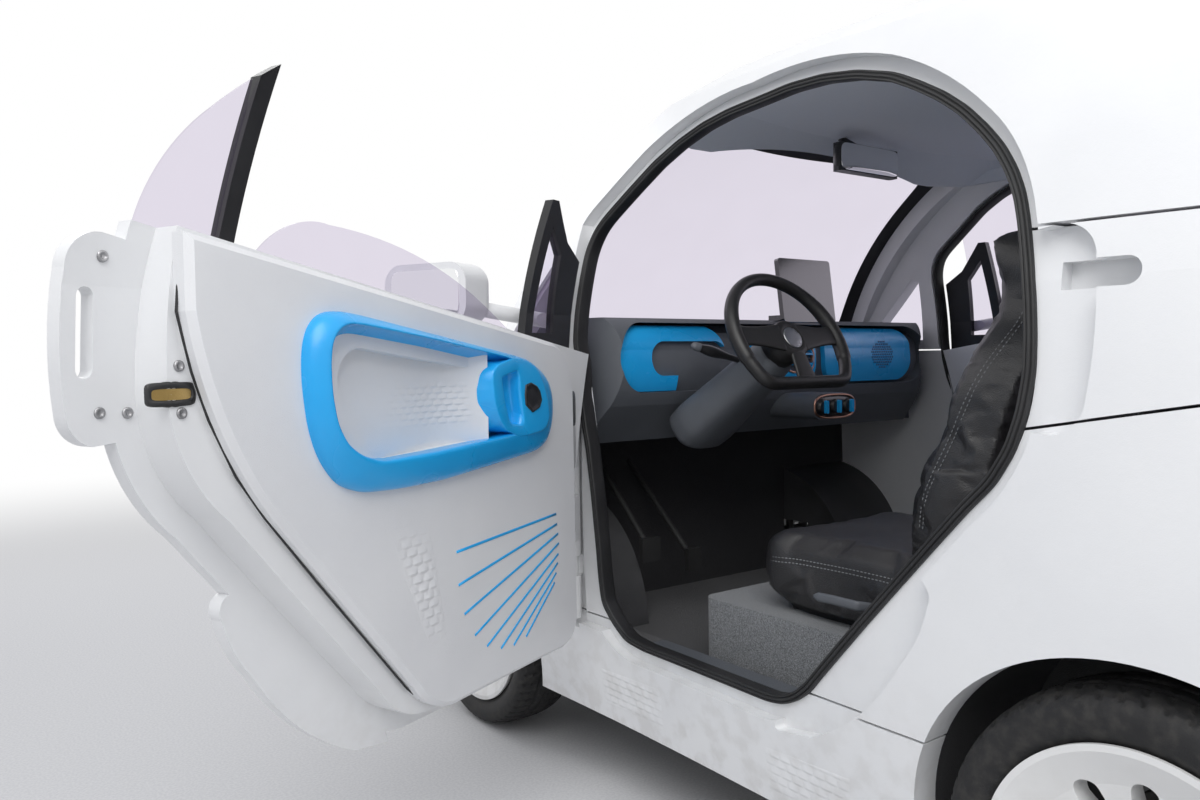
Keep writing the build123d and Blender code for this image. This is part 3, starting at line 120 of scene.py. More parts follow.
def surface(name, grid, around=False, along=False, ends=False):
    """A mesh from a grid of points (rows, columns, 3). Four neighbours make a face; around joins the last
    column to the first, along the last row to the first, and ends closes the first and last row with a
    fan about its middle."""
    grid = np.asarray(grid, float)
    rows, columns = grid.shape[:2]
    index = np.arange(rows * columns).reshape(rows, columns)
    if around:
        index = np.concatenate([index, index[:, :1]], 1)
    if along:
        index = np.concatenate([index, index[:1]], 0)
    faces = [index[:-1, :-1], index[:-1, 1:], index[1:, 1:], index[1:, :-1]]
    faces = np.stack(faces, -1).reshape(-1, 4).tolist()
    points = grid.reshape(-1, 3)
    if ends:
        points = np.concatenate([points, [grid[0].mean(0), grid[-1].mean(0)]])
        first, last = index[0], index[-1]
        faces += [[len(points) - 2, b, a] for a, b in zip(first[:-1].tolist(), first[1:].tolist())]
        faces += [[len(points) - 1, a, b] for a, b in zip(last[:-1].tolist(), last[1:].tolist())]
    mesh = bpy.data.meshes.new(name)
    mesh.from_pydata(points.tolist(), [], faces)
    mesh.polygons.foreach_set("use_smooth", np.ones(len(mesh.polygons), bool))
    mesh.update()
    return mesh


world = bpy.data.worlds.new("studio")
world.use_nodes = True
bpy.context.scene.world = world
room = world.node_tree.nodes["Background"]
rays = world.node_tree.nodes.new("ShaderNodeLightPath")
kinds = ("Is Camera Ray", "Is Glossy Ray", "Is Transmission Ray")
seen = sum((Wire(rays.outputs[kind]) for kind in kinds), 0 * Wire(rays.outputs[0]))
link_to(seen.clip(0, 1).blend((0.60, 0.61, 0.64), (1, 1, 1)), room, "Color")

ground = surface("studio_floor", [[(x, y, 0) for x in (-30, 30)] for y in (30, -30)])
paving = bpy.data.materials.new("studio_floor")
paving.use_nodes = True
coat = paving.node_tree.nodes["Principled BSDF"]
coat.inputs["Roughness"].default_value = 0.9
grit = Wire(paving.node_tree.nodes.new("ShaderNodeTexCoord").outputs["Object"])
speck = grit.node("TexNoise", Vector=grit, Scale=160.0, Detail=3.0)
link_to(speck.clip(0.35, 0.65).blend((0.60, 0.60, 0.61), (0.66, 0.66, 0.665)), coat, "Base Color")
glow = paving.node_tree.nodes.new("ShaderNodeEmission")
away = grit.node("VectorMath", {"operation": "LENGTH"}, 1, in0=grit)
seen_floor = Wire(paving.node_tree.nodes.new("ShaderNodeLightPath").outputs["Is Camera Ray"])
fade = grit.node("MixShader", in0=seen_floor * away.clip(2.4, 8.0))
for place, shader in ((1, coat), (2, glow)):
    paving.node_tree.links.new(shader.outputs[0], fade.socket.node.inputs[place])
link_to(fade, paving.node_tree.nodes["Material Output"], "Surface")
put(ground, [paving])

for name, place, aim, reach, power in (("key", (2.6, 2.2, 3.6), (0, 0, 0.8), 3.2, 95),
                                       ("fill", (-3.6, 2.6, 3.0), (0, 0, 0.8), 3.0, 32),
                                       ("front", (1.4, -3.6, 2.6), (0, 0, 0.9), 2.6, 26)):
    lamp = bpy.data.lights.new(name, "AREA")
    lamp.shape, lamp.size, lamp.energy = "DISK", reach, power
    stand = put(lamp)
    stand.location = Vector(place) + Vector((MIDDLE_X, 0, 0))
    beam = Vector(aim) - Vector(place)
    stand.rotation_euler = beam.to_track_quat("-Z", "Y").to_euler()

ahead = Vector((-math.sin(TURN), -math.cos(TURN), 0))
view = math.cos(DIP) * ahead - math.sin(DIP) * Vector((0, 0, 1))
level = ahead.cross(Vector((0, 0, 1)))
top = level.cross(view)
right = level * math.cos(ROLL) - top * math.sin(ROLL)
up = top * math.cos(ROLL) + level * math.sin(ROLL)
lens = bpy.data.cameras.new("viewpoint")
lens.sensor_width, lens.lens = 36, 36 * FOCUS_PX / FRAME_PX
camera = put(lens)
camera.matrix_world = Matrix.Translation(EYE) @ Matrix((right, up, -view)).transposed().to_4x4()
bpy.context.scene.camera = camera
bpy.context.scene.view_settings.view_transform = "Standard"


# Chassis frame, axles, suspension and battery: painted steel and bare cast metal under the floor, bolted
# together, each with its own tone and grain.
class Finish:
    """A material with one Principled shader: at, the piece's own coordinates, and set() for the shader."""

    def __init__(self, name, **values):
        self.material = bpy.data.materials.new(name)
        self.material.use_nodes = True
        self.shader = self.material.node_tree.nodes["Principled BSDF"]
        self.at = Wire(self.material.node_tree.nodes.new("ShaderNodeTexCoord").outputs["Object"])
        self.set(**values)

    def set(self, **values):
        """Sets or wires the shader's sockets by name."""
        for key, value in values.items():
            key = key.replace("_", " ")
            if isinstance(value, Wire):
                link_to(value, self.shader, key)
            elif isinstance(value, tuple) and len(value) == 3:
                self.shader.inputs[key].default_value = (*value, 1)
            else:
                self.shader.inputs[key].default_value = value
        return self

    def noise(self, scale, detail=2.0, rough=0.5):
        """A grain of that scale, 0 to 1."""
        return self.at.node("TexNoise", Vector=self.at, Scale=float(scale), Detail=float(detail),
                            Roughness=rough)

    def cells(self, scale):
        """The distance to the nearest of many scattered points, in cell widths."""
        return self.at.node("TexVoronoi", Vector=self.at, Scale=float(scale))

    def bump(self, height, depth):
        """Raises the surface by a height map, in metres."""
        return self.set(Normal=self.at.node("Bump", Height=height, Distance=depth))


def metal(name, dark, light, grain, rough, metallic=1.0):
    """Cast or painted metal: two tones in clouds and a fine cast grain."""
    made = Finish(name, Metallic=metallic)
    cloud = made.noise(14, 4)
    tone = cloud.clip(0.3, 0.7).blend(dark, light)
    fine = made.noise(grain, 3)
    return made.set(Base_Color=tone, Roughness=rough + 0.12 * cloud).bump(fine, 0.0006).material


def coat_nodes(material, *names):
    """Gives carried-over nodes this finish."""
    for name in names:
        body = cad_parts[name]
        for place in body.material_slots:
            place.material = material
        if not body.material_slots:
            body.data.materials.append(material)


coat_nodes(metal("frame_steel", (0.022, 0.022, 0.024), (0.045, 0.045, 0.048), 380, 0.42, 0.0),
           "chassis_frame")
coat_nodes(metal("battery_case", (0.36, 0.37, 0.38), (0.50, 0.51, 0.52), 260, 0.38), "battery_pack")
coat_nodes(metal("motor_case", (0.40, 0.41, 0.42), (0.55, 0.56, 0.57), 420, 0.42), "drive_motor")
coat_nodes(metal("axle_steel", (0.09, 0.09, 0.095), (0.16, 0.155, 0.15), 300, 0.48, 0.8),
           "rear_axle", "front_suspension", "front_knuckle_left", "front_knuckle_right")


# Rims: one-piece wheels with a ring of rounded hand holes, pressed from sheet steel and painted in white
# satin. They are bolted on the hubs.
def paint(name, light, shade, rough):
    """Satin paint over moulded panels: a faint cloud in the tone, fine orange peel, dust low down."""
    made = Finish(name, Coat_Weight=0.35, Coat_Roughness=0.22, Specular_IOR_Level=0.45)
    cloud = made.noise(3.5, 3).clip(0.35, 0.7)
    height = made.at.node("SeparateXYZ", out=2, Vector=made.at)
    dust = (1 - height.clip(0.12, 0.55)) * made.noise(22, 4).clip(0.42, 0.66)
    tone = (dust * 0.35).blend(cloud.blend(light, shade), (0.52, 0.50, 0.47))
    made.set(Base_Color=tone, Roughness=rough + 0.25 * dust)
    return made.bump(made.noise(620, 2) * 0.6 + made.noise(90, 2), 0.00022).material


SIDES = (("left", 1), ("right", -1))
WHEEL_X, AXLE_Y, AXLE_Z = .645, .84, .273
WHEELS = [("%s_%s" % (end, hand), side, np.array([side * WHEEL_X, y, AXLE_Z]))
          for end, y in (("front", -AXLE_Y), ("rear", AXLE_Y)) for hand, side in SIDES]
rim_white = paint("rim_white", (0.80, 0.80, 0.79), (0.76, 0.76, 0.755), 0.34)
coat_nodes(rim_white, *["rim_" + corner for corner, side, centre in WHEELS])


def about_car(points):
    """Points measured from the middle of the car, in the row frame."""
    return np.asarray(points, float) + (MIDDLE_X, 0, 0)


def fitted(mesh, materials, body, slot, *nodes):
    """The mesh as a piece on that body with the given materials, standing for the CAD nodes named; the slot
    is not used.
    """
    piece = put(mesh, materials)
    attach(piece, body)
    if nodes:
        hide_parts(*nodes)
    return piece


def closed(name, grid, material, body, slot, *nodes, along=False, ends=True):
    """A piece of one surface whose columns close in a ring. Its rows close too with along, and otherwise its
    first and last row are filled, or left open without ends."""
    mesh = surface(name, grid, around=True, along=along, ends=ends and not along)
    return fitted(mesh, [material], body, slot, *nodes)


def disc_grid(radii, offsets, count=48):
    """Rings about the X axis: one row for each radius and place along the axis."""
    turn = np.linspace(0, 2 * math.pi, count, endpoint=False)
    radii, offsets = np.array(radii, float)[:, None], np.array(offsets, float)[:, None]
    return np.stack([offsets + 0 * turn, radii * np.cos(turn), radii * np.sin(turn)], -1)


# Wheel centres: a plain cap pressed into the hub, painted with the rim, and four steel bolts round it that
# are screwed in from outside.
hub_steel = metal("wheel_bolt", (0.30, 0.30, 0.31), (0.46, 0.46, 0.47), 420, 0.32)
BOLT_CIRCLE = .052
cap = disc_grid([.0150, .030, .0335, .0345, .033, .028, .016, .002],
                [.030, .033, .035, .041, .0455, .0475, .0486, .0488])
bolt = disc_grid([.0108, .0108, .0095, .0075, .006, .0052, .001],
                 [.031, .0425, .0448, .0452, .045, .0425, .0424], 12)
for corner, side, centre in WHEELS:
    out = (side, 1, 1)
    closed("hub_cap_" + corner, about_car(cap * out + centre), rim_white, "wheel_" + corner, "rim_white")
    for number in range(4):
        turn = math.pi / 4 + number * math.pi / 2
        seat = np.array([0, BOLT_CIRCLE * math.cos(turn), BOLT_CIRCLE * math.sin(turn)])
        closed("wheel_bolt_%s_%d" % (corner, number), about_car((bolt + seat) * out + centre), hub_steel,
               "wheel_" + corner, "rim_white")

# Tyres: moulded rubber with three grooves round the tread, blocks cut across it and raised rings on the
# walls, fitted on the rims by their beads.
rubber = Finish("tyre", Specular_IOR_Level=0.35)
dusty = rubber.noise(60, 4).clip(0.35, 0.75)
rubber.set(Base_Color=dusty.blend((0.018, 0.018, 0.019), (0.045, 0.043, 0.041)), Roughness=0.62 + 0.2 * dusty)
rubber.bump(rubber.noise(500, 3), 0.0005)
coat_nodes(rubber.material, *["tyre_" + corner for corner, side, centre in WHEELS])
WALL_LINE = [(.0585, .1965), (.0640, .2005), (.0705, .208), (.0778, .220), (.0812, .231), (.0822, .240),
             (.0808, .249), (.0778, .2555), (.0742, .2600)]
TREAD_HALF, TYRE_TOP = .0725, .2725
BLOCKS, GROOVE_DEPTH = 60, .0065


def at_steps(line, run, steps):
    """Points of a line at those steps, where run is the place of each of its own points."""
    return np.stack([np.interp(steps, run, axis) for axis in np.asarray(line).T], 1)


def tyre_grid(turns=420):
    """A tyre about the X axis: the section's line, turned, with the tread cut by a height map of the
    angle and the place across."""
    half = at_steps(WALL_LINE, np.linspace(0, 1, len(WALL_LINE)), np.linspace(0, 1, 22))
    place = np.linspace(TREAD_HALF, -TREAD_HALF, 60)
    crown = TYRE_TOP - .0095 * (np.abs(place) / TREAD_HALF) ** 3.2
    tread = np.stack([place, crown], 1)
    bead_x, bead_radius = WALL_LINE[0]
    inner = np.stack([np.linspace(-bead_x, bead_x, 6), np.full(6, bead_radius)], 1)[1:-1]
    line = np.concatenate([half, tread, half[::-1] * (-1, 1), inner])
    on_tread = np.concatenate([np.zeros(len(half)), np.ones(len(tread)), np.zeros(len(half) + len(inner))])
    turn = np.linspace(0, 2 * math.pi, turns, endpoint=False)[:, None]
    x, radius = line[:, 0] + 0 * turn, line[:, 1] + 0 * turn
    off = np.abs(x)
    groove = np.minimum(off, np.abs(off - .030))
    rounds = np.clip((.0042 - groove) / .0018, 0, 1)
    pitch = turn * BLOCKS / (2 * math.pi) + 9 * off
    cut = np.abs((pitch % 1) - .5)
    shoulder = np.clip((off - .034) / .004, 0, 1)
    between = np.clip(.0012 + np.abs(off - .015) * 100 % 2, 0, 1)
    cuts = np.clip((.10 - cut) / .05, 0, 1) * (.35 + .65 * shoulder) * between
    depth = np.maximum(rounds, cuts) * on_tread * GROOVE_DEPTH
    outer = np.clip((off - TREAD_HALF) / .002, 0, 1) * np.clip((radius - .246) / .004, 0, 1)
    lug = outer * np.clip((cut - .12) / .05, 0, 1)
    ribs = .0006 * (np.abs(radius - .2165) < .0016) + .0006 * (np.abs(radius - .206) < .0012)
    x = x + np.sign(x) * (lug * .0004 - .0008 + ribs)
    radius = radius - depth
    return np.stack([x, radius * np.cos(turn), radius * np.sin(turn)], -1)


tread = tyre_grid()
for corner, side, centre in WHEELS:
    closed("tyre_%s_tread" % corner, about_car(tread * (side, 1, 1) + centre), rubber.material,
           "wheel_" + corner, "tyre", "tyre_" + corner, along=True)

# Body panels: moulded shells in white satin paint, hung on the frame, with open seams between them.
body_white = paint("body_white", (0.84, 0.845, 0.85), (0.80, 0.806, 0.815), 0.30)
coat_nodes(body_white, "body_shell", "rear_quarters", "rear_body", "front_body", "side_sills", "bonnet",
           "tailgate", "door_left", "door_right", "door_left_mirror", "door_right_mirror")


def tree_of(*names):
    """The joined faces of CAD nodes, for finding where a line meets them."""
    points, faces = [], []
    for name in names:
        mesh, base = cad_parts[name].data, len(points)
        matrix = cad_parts[name].matrix_world
        points += [matrix @ corner.co for corner in mesh.vertices]
        faces += [[base + i for i in face.vertices] for face in mesh.polygons]
    return BVHTree.FromPolygons(points, faces)


def across(tree, y, z, side=1, start=1.1, fallback=None):
    """Car-centred X where a line across the car, from outside, first meets the faces."""
    met = tree.ray_cast(Vector((MIDDLE_X + side * start, y, z)), Vector((-side, 0, 0)))[0]
    return fallback if met is None else met.x - MIDDLE_X


def edge_fade(u, v):
    """0 at the edges of a patch whose places across are u and v, and 1 from a sixth of it inwards."""
    return np.minimum(1, 6 * np.minimum(np.minimum(u, 1 - u), np.minimum(v, 1 - v)))


def scales(y, z, long=.026, high=.0155, deep=.0026):
    """Rows of small overlapping scales, each row set off by half a scale."""
    row = np.floor(z / high)
    place = (y / long + .5 * (row % 2)) % 1 - .5
    down = (z / high) % 1
    return deep * np.clip(1 - (2 * place) ** 2, 0, 1) * np.clip(1 - down, 0, 1) * np.clip(down * 6, 0, 1)


# Sill ripples: two patches of small scales on the white sills, one behind the front arch and one ahead of the
# rear one. They are moulded in one with the panel.
sill_faces = tree_of("side_sills", "rear_body", "front_body")
PATCHES = ((-.290, -.075, .205, .290, .23), (.205, .410, .195, .280, .30))
for hand, side in SIDES:
    for number, (y0, y1, z0, z1, rise) in enumerate(PATCHES):
        y, z = np.meshgrid(np.linspace(y0, y1, 120), np.linspace(0, 1, 60))
        z = z0 + (z1 - z0) * z + rise * .18 * (y - y0)
        skin = [across(sill_faces, a, b, side, fallback=.735 * side) for a, b in zip(y.ravel(), z.ravel())]
        skin = np.reshape(skin, y.shape)
        u, v = np.meshgrid(np.linspace(0, 1, 120), np.linspace(0, 1, 60))
        fade = edge_fade(u, v)
        lift = scales(y, z) * .7 * fade - .0006 + .0008 * np.minimum(1, 3 * fade)
        grid = np.stack([skin + side * lift, y, z], -1)
        patch = surface("sill_ripple_%s_%d" % (hand, number), about_car(grid))
        fitted(patch, [body_white], "body", "body_white")


# Trim, lining, lamps and glass: moulded plastic, rubber, felt, carpet, leather and thin toughened panes, each
# clipped, glued or laid on the body in its own tone.
def moulded(name, dark, light, rough, grain=900, depth=0.00025, coat=0.0):
    """Moulded plastic: a fine pebble grain, a faint tone change, duller where hands have not polished it."""
    made = Finish(name, Coat_Weight=coat, Coat_Roughness=0.25)
    cloud = made.noise(6, 3).clip(0.3, 0.7)
    pebble = made.cells(grain)
    made.set(Base_Color=cloud.blend(dark, light), Roughness=rough + 0.08 * cloud)
    return made.bump(pebble + made.noise(grain * 1.7, 2) * 0.5, depth).material


trim_white = moulded("trim_white", (0.78, 0.785, 0.80), (0.815, 0.82, 0.83), 0.40)
trim_blue = moulded("trim_blue", (0.010, 0.38, 0.84), (0.014, 0.43, 0.90), 0.24, 1100, 0.00012, 0.3)
trim_dark = moulded("trim_dark", (0.105, 0.113, 0.127), (0.130, 0.140, 0.156), 0.44)
trim_black = moulded("trim_black", (0.014, 0.014, 0.015), (0.022, 0.022, 0.024), 0.30, 1300, 0.0001, 0.2)
liner_grey = moulded("liner_grey", (0.045, 0.045, 0.047), (0.075, 0.075, 0.078), 0.65, 500, 0.0005)
screen_black = moulded("screen_black", (0.006, 0.006, 0.007), (0.010, 0.010, 0.012), 0.06, 2000, 0.00001, 1.0)
seal_rubber = moulded("seal_rubber", (0.012, 0.012, 0.013), (0.022, 0.022, 0.023), 0.5, 1500, 0.0001)
wheel_black = moulded("wheel_black", (0.012, 0.012, 0.013), (0.022, 0.021, 0.021), 0.36, 700, 0.0003, 0.1)
pedal_black = moulded("pedal_black", (0.014, 0.014, 0.014), (0.03, 0.03, 0.03), 0.6)
lamp_red = moulded("lamp_red", (0.30, 0.008, 0.010), (0.42, 0.012, 0.014), 0.12, 300, 0.0004, 0.8)
lamp_clear = moulded("lamp_clear", (0.62, 0.64, 0.66), (0.75, 0.77, 0.79), 0.10, 300, 0.0004, 0.8)


def cloth(name, dark, light, scale, depth, rough=0.95):
    """Needled or woven fibre: short dark and light flecks, a soft nap."""
    made = Finish(name, Sheen_Weight=0.25, Sheen_Roughness=0.5)
    fleck = made.noise(scale, 5, 0.7)
    made.set(Base_Color=fleck.clip(0.36, 0.66).blend(dark, light), Roughness=rough)
    return made.bump(fleck + made.noise(scale * 0.3, 2), depth).material


lining = cloth("lining_fabric", (0.70, 0.74, 0.81), (0.78, 0.82, 0.87), 900, 0.0004)
floor_dark = cloth("floor_dark", (0.012, 0.012, 0.014), (0.05, 0.05, 0.052), 700, 0.001)
carpet = cloth("carpet_grey", (0.07, 0.075, 0.08), (0.36, 0.37, 0.38), 620, 0.0012)
leather = moulded("seat_leather", (0.014, 0.014, 0.016), (0.024, 0.023, 0.024), 0.34, 520, 0.0006, 0.15)

coat_nodes(trim_white, "door_left_trim", "door_right_trim")
coat_nodes(trim_blue, "door_left_armrest", "door_right_armrest", "dash_inserts")
coat_nodes(trim_dark, "dashboard", "steering_column", "sill_plates")
coat_nodes(trim_black, "door_left_frames", "door_right_frames", "cabin_mirror", "wiper")
coat_nodes(liner_grey, "wheel_liners")
coat_nodes(screen_black, "centre_screen")
coat_nodes(seal_rubber, "door_seals")
coat_nodes(wheel_black, "steering_wheel")
coat_nodes(pedal_black, "pedals")
coat_nodes(lamp_red, "tail_lamps")
coat_nodes(lamp_clear, "headlamps")
coat_nodes(lining, "headliner")
coat_nodes(floor_dark, "floor_pan")
coat_nodes(carpet, "seat_boxes")
coat_nodes(leather, "seat_cushions", "seat_backs")


def glazing(name, tint, rough=0.02):
    """Thin toughened glass: a faint tint, clear straight on and bright at a slant."""
    made = Finish(name, Base_Color=(0.03, 0.028, 0.034), Roughness=rough, Specular_IOR_Level=0.5)
    tree = made.material.node_tree
    clear = tree.nodes.new("ShaderNodeBsdfTransparent")
    haze = made.noise(9, 3)
    slant = made.at.node("Fresnel", IOR=1.45) * (1 - made.at.node("NewGeometry", out=6))
    mix = tree.nodes.new("ShaderNodeMixShader")
    clear.inputs["Color"].default_value = (*tint, 1)
    link_to(slant * 0.8 + 0.01 + haze * 0.02, mix, 0)
    tree.links.new(clear.outputs[0], mix.inputs[1])
    tree.links.new(made.shader.outputs[0], mix.inputs[2])
    tree.links.new(mix.outputs[0], tree.nodes["Material Output"].inputs["Surface"])
    return made.material


glass = glazing("glass", (0.90, 0.875, 0.93))
coat_nodes(glass, "fixed_glass", "tailgate_glass", "door_left_glass", "door_right_glass")


# Windscreen border: black ceramic ink fired on the inner face of the bonded glass, all round its edge. It
# hides the bead of adhesive that holds the pane.
def run_of(line):
    """How far along the line each of its points is."""
    return np.concatenate([[0], np.cumsum(np.linalg.norm(np.diff(line, axis=0), axis=1))])


def eased(line, rounds):
    """A closed line after so many rounds of averaging each point with its two neighbours."""
    for _ in range(rounds):
        line = (np.roll(line, 1, 0) + 2 * line + np.roll(line, -1, 0)) / 4
    return line


def spline(points, count=60, endpoint=True):
    """Even steps along a line through the points."""
    points = np.asarray(points, float)
    run = run_of(points)
    return at_steps(points, run, np.linspace(0, run[-1], count, endpoint=endpoint))


def outline(corners, count=240, ease=0):
    """A closed line through the corners in even steps, its corners eased by so many rounds of averaging."""
    return eased(spline(list(corners) + [corners[0]], count, False), ease)


SCREEN_CORNERS = [(-.640, 1.006), (.640, 1.006), (.505, 1.505), (-.505, 1.505)]
# The cab's face: its radius in height, its radius across the car, and the axis in Y and Z it curves about.
CAB_RADIUS, CAB_BOW, CAB_Y, CAB_Z = 1.187, 2.2, .221, .466


def behind_screen(x, z, inset):
    """Points at that depth under the rounded cab's face, which curves in height and across the car."""
    reach = CAB_RADIUS - inset - (CAB_BOW - np.sqrt(CAB_BOW ** 2 - x ** 2))
    return np.stack([x, CAB_Y - np.sqrt(reach ** 2 - (z - CAB_Z) ** 2), z], -1)


edge = outline(SCREEN_CORNERS, 400, 60)
edge = edge.mean(0) + (edge - edge.mean(0)) * (1.012, 1.018)
shares = np.linspace(0, .085, 5)[:, None, None]
band = edge + (edge.mean(0) - edge) * shares
ink = moulded("frit_ink", (0.008, 0.008, 0.009), (0.012, 0.012, 0.013), 0.35, 1600, 0.00005)
closed("screen_border", about_car(behind_screen(band[..., 0], band[..., 1], .0108)), ink, "body",
       "trim_black", ends=False)

# Door seals: soft black extrusions with three lips, pushed on the flange round each door opening.
# Their line is the opening's edge, and their place across the car is read off the flange.
OPENING = outline([(-.150, .356), (.03, .356), (.210, .356), (.250, .362), (.282, .378), (.310, .401),
                   (.335, .430), (.430, .539), (.52, .641), (.612, .746), (.650, .785), (.678, .833),
                   (.694, .885), (.702, .940), (.701, .99), (.697, 1.04), (.690, 1.09), (.680, 1.14),
                   (.668, 1.182), (.650, 1.22), (.625, 1.257), (.595, 1.290), (.552, 1.33), (.505, 1.364),
                   (.452, 1.395), (.400, 1.422), (.32, 1.447), (.240, 1.461), (.16, 1.464), (.080, 1.457),
                   (.0, 1.451), (-.070, 1.438), (-.137, 1.414), (-.200, 1.381), (-.27, 1.33), (-.340, 1.278),
                   (-.362, 1.256), (-.376, 1.228), (-.383, 1.2), (-.384, 1.170), (-.384, 1.08), (-.384, 1.0),
                   (-.362, .885), (-.322, .770), (-.303, .665), (-.292, .560), (-.288, .480), (-.282, .43),
                   (-.248, .392), (-.208, .363)], 560, 6)
# The seal's section: place inwards from the opening's edge, and outwards across the car.
LIP_LINE = np.array([(-.0015, -.004), (-.0015, .003), (-.0010, .0066), (.0006, .0082), (.0024, .0074),
                     (.0034, .0050), (.0040, .0062), (.0052, .0090), (.0072, .0098), (.0090, .0086),
                     (.0098, .0058), (.0104, .0068), (.0116, .0086), (.0134, .0088), (.0148, .0070),
                     (.0152, .0040), (.0150, -.002), (.0144, -.010), (.0128, -.020), (.0100, -.0255),
                     (.0060, -.027), (.0030, -.024), (.0010, -.016), (-.0005, -.008)])
seal_faces = tree_of("door_seals")
for hand, side in SIDES:
    slope = np.roll(OPENING, -1, 0) - np.roll(OPENING, 1, 0)
    inward = np.stack([-slope[:, 1], slope[:, 0]], 1) / np.linalg.norm(slope, axis=1, keepdims=True)
    if ((OPENING.mean(0) - OPENING[0]) * inward[0]).sum() < 0:
        inward = -inward
    probe = OPENING + inward * .006
    place = [across(seal_faces, y, z, side) for y, z in probe]
    known = np.array([x is not None for x in place])
    place = np.interp(np.arange(len(place)), np.flatnonzero(known), [abs(x) for x in place if x is not None])
    place = eased(place, 20)
    spot = OPENING[:, None] + inward[:, None] * LIP_LINE[None, :, :1]
    grid = np.stack([side * (place[:, None] + LIP_LINE[None, :, 1]), spot[..., 0], spot[..., 1]], -1)
    seal = surface("door_seal_" + hand, about_car(grid), around=True, along=True)
    fitted(seal, [seal_rubber], "body", "seal_rubber", *(["door_seals"] if side == 1 else []))


# Dash fittings: copper-coloured rims round the two centre vents with their blades, and the dark climate
# panel with its three knobs. All are moulded and clipped into the dashboard's front.
def round_section(width, height, count=16, power=2.0):
    """A closed oval, squarer as the power grows."""
    turn = np.linspace(0, 2 * math.pi, count, endpoint=False)
    round_line = np.stack([np.cos(turn), np.sin(turn)], 1)
    return np.sign(round_line) * np.abs(round_line) ** (2 / power) * (width, height)


def oval(x, z, width, height, power=3.4, count=200):
    """A closed line of X and Z with straight sides and full round corners."""
    return round_section(width / 2, height / 2, count, power) + (x, z)


def reach_of(line, centre, angles):
    """How far a closed line lies from the centre in each direction."""
    away = line - np.asarray(centre)
    turn = np.arctan2(away[:, 1], away[:, 0])
    order = np.argsort(turn)
    return np.interp(angles, turn[order], np.hypot(*away.T)[order], period=2 * math.pi)


def frame_between(lines, centre, profile, face, count=288):
    """A frame of Y and Z about a centre: each row of the profile is (which line it is at, with shares
    between two lines, height from the face towards the cabin)."""
    angles = np.linspace(-math.pi, math.pi, count, endpoint=False)
    reaches = np.array([reach_of(line, centre, angles) for line in lines])
    at, height = np.array(profile).T
    low = np.minimum(at.astype(int), len(lines) - 2)
    share = (at - low)[:, None]
    away = reaches[low] * (1 - share) + reaches[low + 1] * share
    y, z = centre[0] + away * np.cos(angles), centre[1] + away * np.sin(angles)
    return np.stack([face - height[:, None] + 0 * y, y, z], -1)


def stepped(line, face, steps, axis=1):
    """A closed line, scaled about its middle by each step's share and laid at the step's depth from the
    face, which is a place on the given axis."""
    middle = line.mean(0)
    return np.stack([np.insert(middle + (line - middle) * share, axis, face + depth, 1)
                     for share, depth in steps])


copper = metal("copper_rim", (0.42, 0.22, 0.16), (0.58, 0.33, 0.25), 700, 0.26)


def to_rear(grid, face):
    """A frame drawn between lines of X and Z, laid on an upright face that looks to the rear."""
    return about_car(np.stack([grid[..., 1], face - grid[..., 0], grid[..., 2]], -1))


RIM_PROFILE = [(0, -.004), (0, .0018), (.2, .0034), (.5, .0040), (.8, .0034), (1, .0018), (1, -.010)]
VENT_Z, BLADES = .955, ((-.4200, .98, -.004), (-.405, 1, -.001), (-.3975, 1, .0006), (-.3960, .97, .0008))
CLIMATE_AT, CLIMATE_FACE = (-.050, .831), -.2716
for number, x in enumerate((-.052, .084)):
    lines = (oval(x, VENT_Z, .114, .078), oval(x, VENT_Z, .102, .066))
    grid = frame_between(lines, (x, VENT_Z), RIM_PROFILE, 0, 200)
    closed("vent_rim_%d" % number, to_rear(grid, -.3945), copper, "body", "trim_dark", ends=False)
    for blade, rise in enumerate((-.0155, .0, .0155)):
        height = round_section(.0495 - .4 * abs(rise), .0022, 40, 5)
        rows = [np.insert(height * s + (x, VENT_Z + rise + lean), 1, y, 1) for y, s, lean in BLADES]
        closed("vent_blade_%d_%d" % (number, blade), about_car(rows), trim_dark, "body", "trim_dark")
lines = (oval(*CLIMATE_AT, .164, .066, 3), oval(*CLIMATE_AT, .152, .055, 3))
closed("climate_rim", to_rear(frame_between(lines, CLIMATE_AT, RIM_PROFILE, 0, 240), -.2722), copper,
       "body", "trim_dark", ends=False)
rows = stepped(oval(*CLIMATE_AT, .153, .056, 3, 160), CLIMATE_FACE,
               ((1, -.001), (.99, .0006), (.5, .0008), (.01, .0008)))
closed("climate_plate", about_car(rows), trim_black, "body", "trim_dark")
knob = disc_grid([.0195, .0195, .0188, .0182, .0170, .0120, .001],
                 [-.001, .0015, .0022, .0096, .0104, .0106, .0106], 72)
knob[..., 1:] *= (1 + .012 * np.cos(24 * np.linspace(0, 2 * math.pi, 72, endpoint=False)))[None, :, None]
for number, x in enumerate((-.100, -.050, .0)):
    turned = knob[..., [1, 0, 2]] + (x, CLIMATE_FACE, CLIMATE_AT[1])
    closed("climate_knob_%d" % number, about_car(turned), trim_black, "body", "trim_dark")
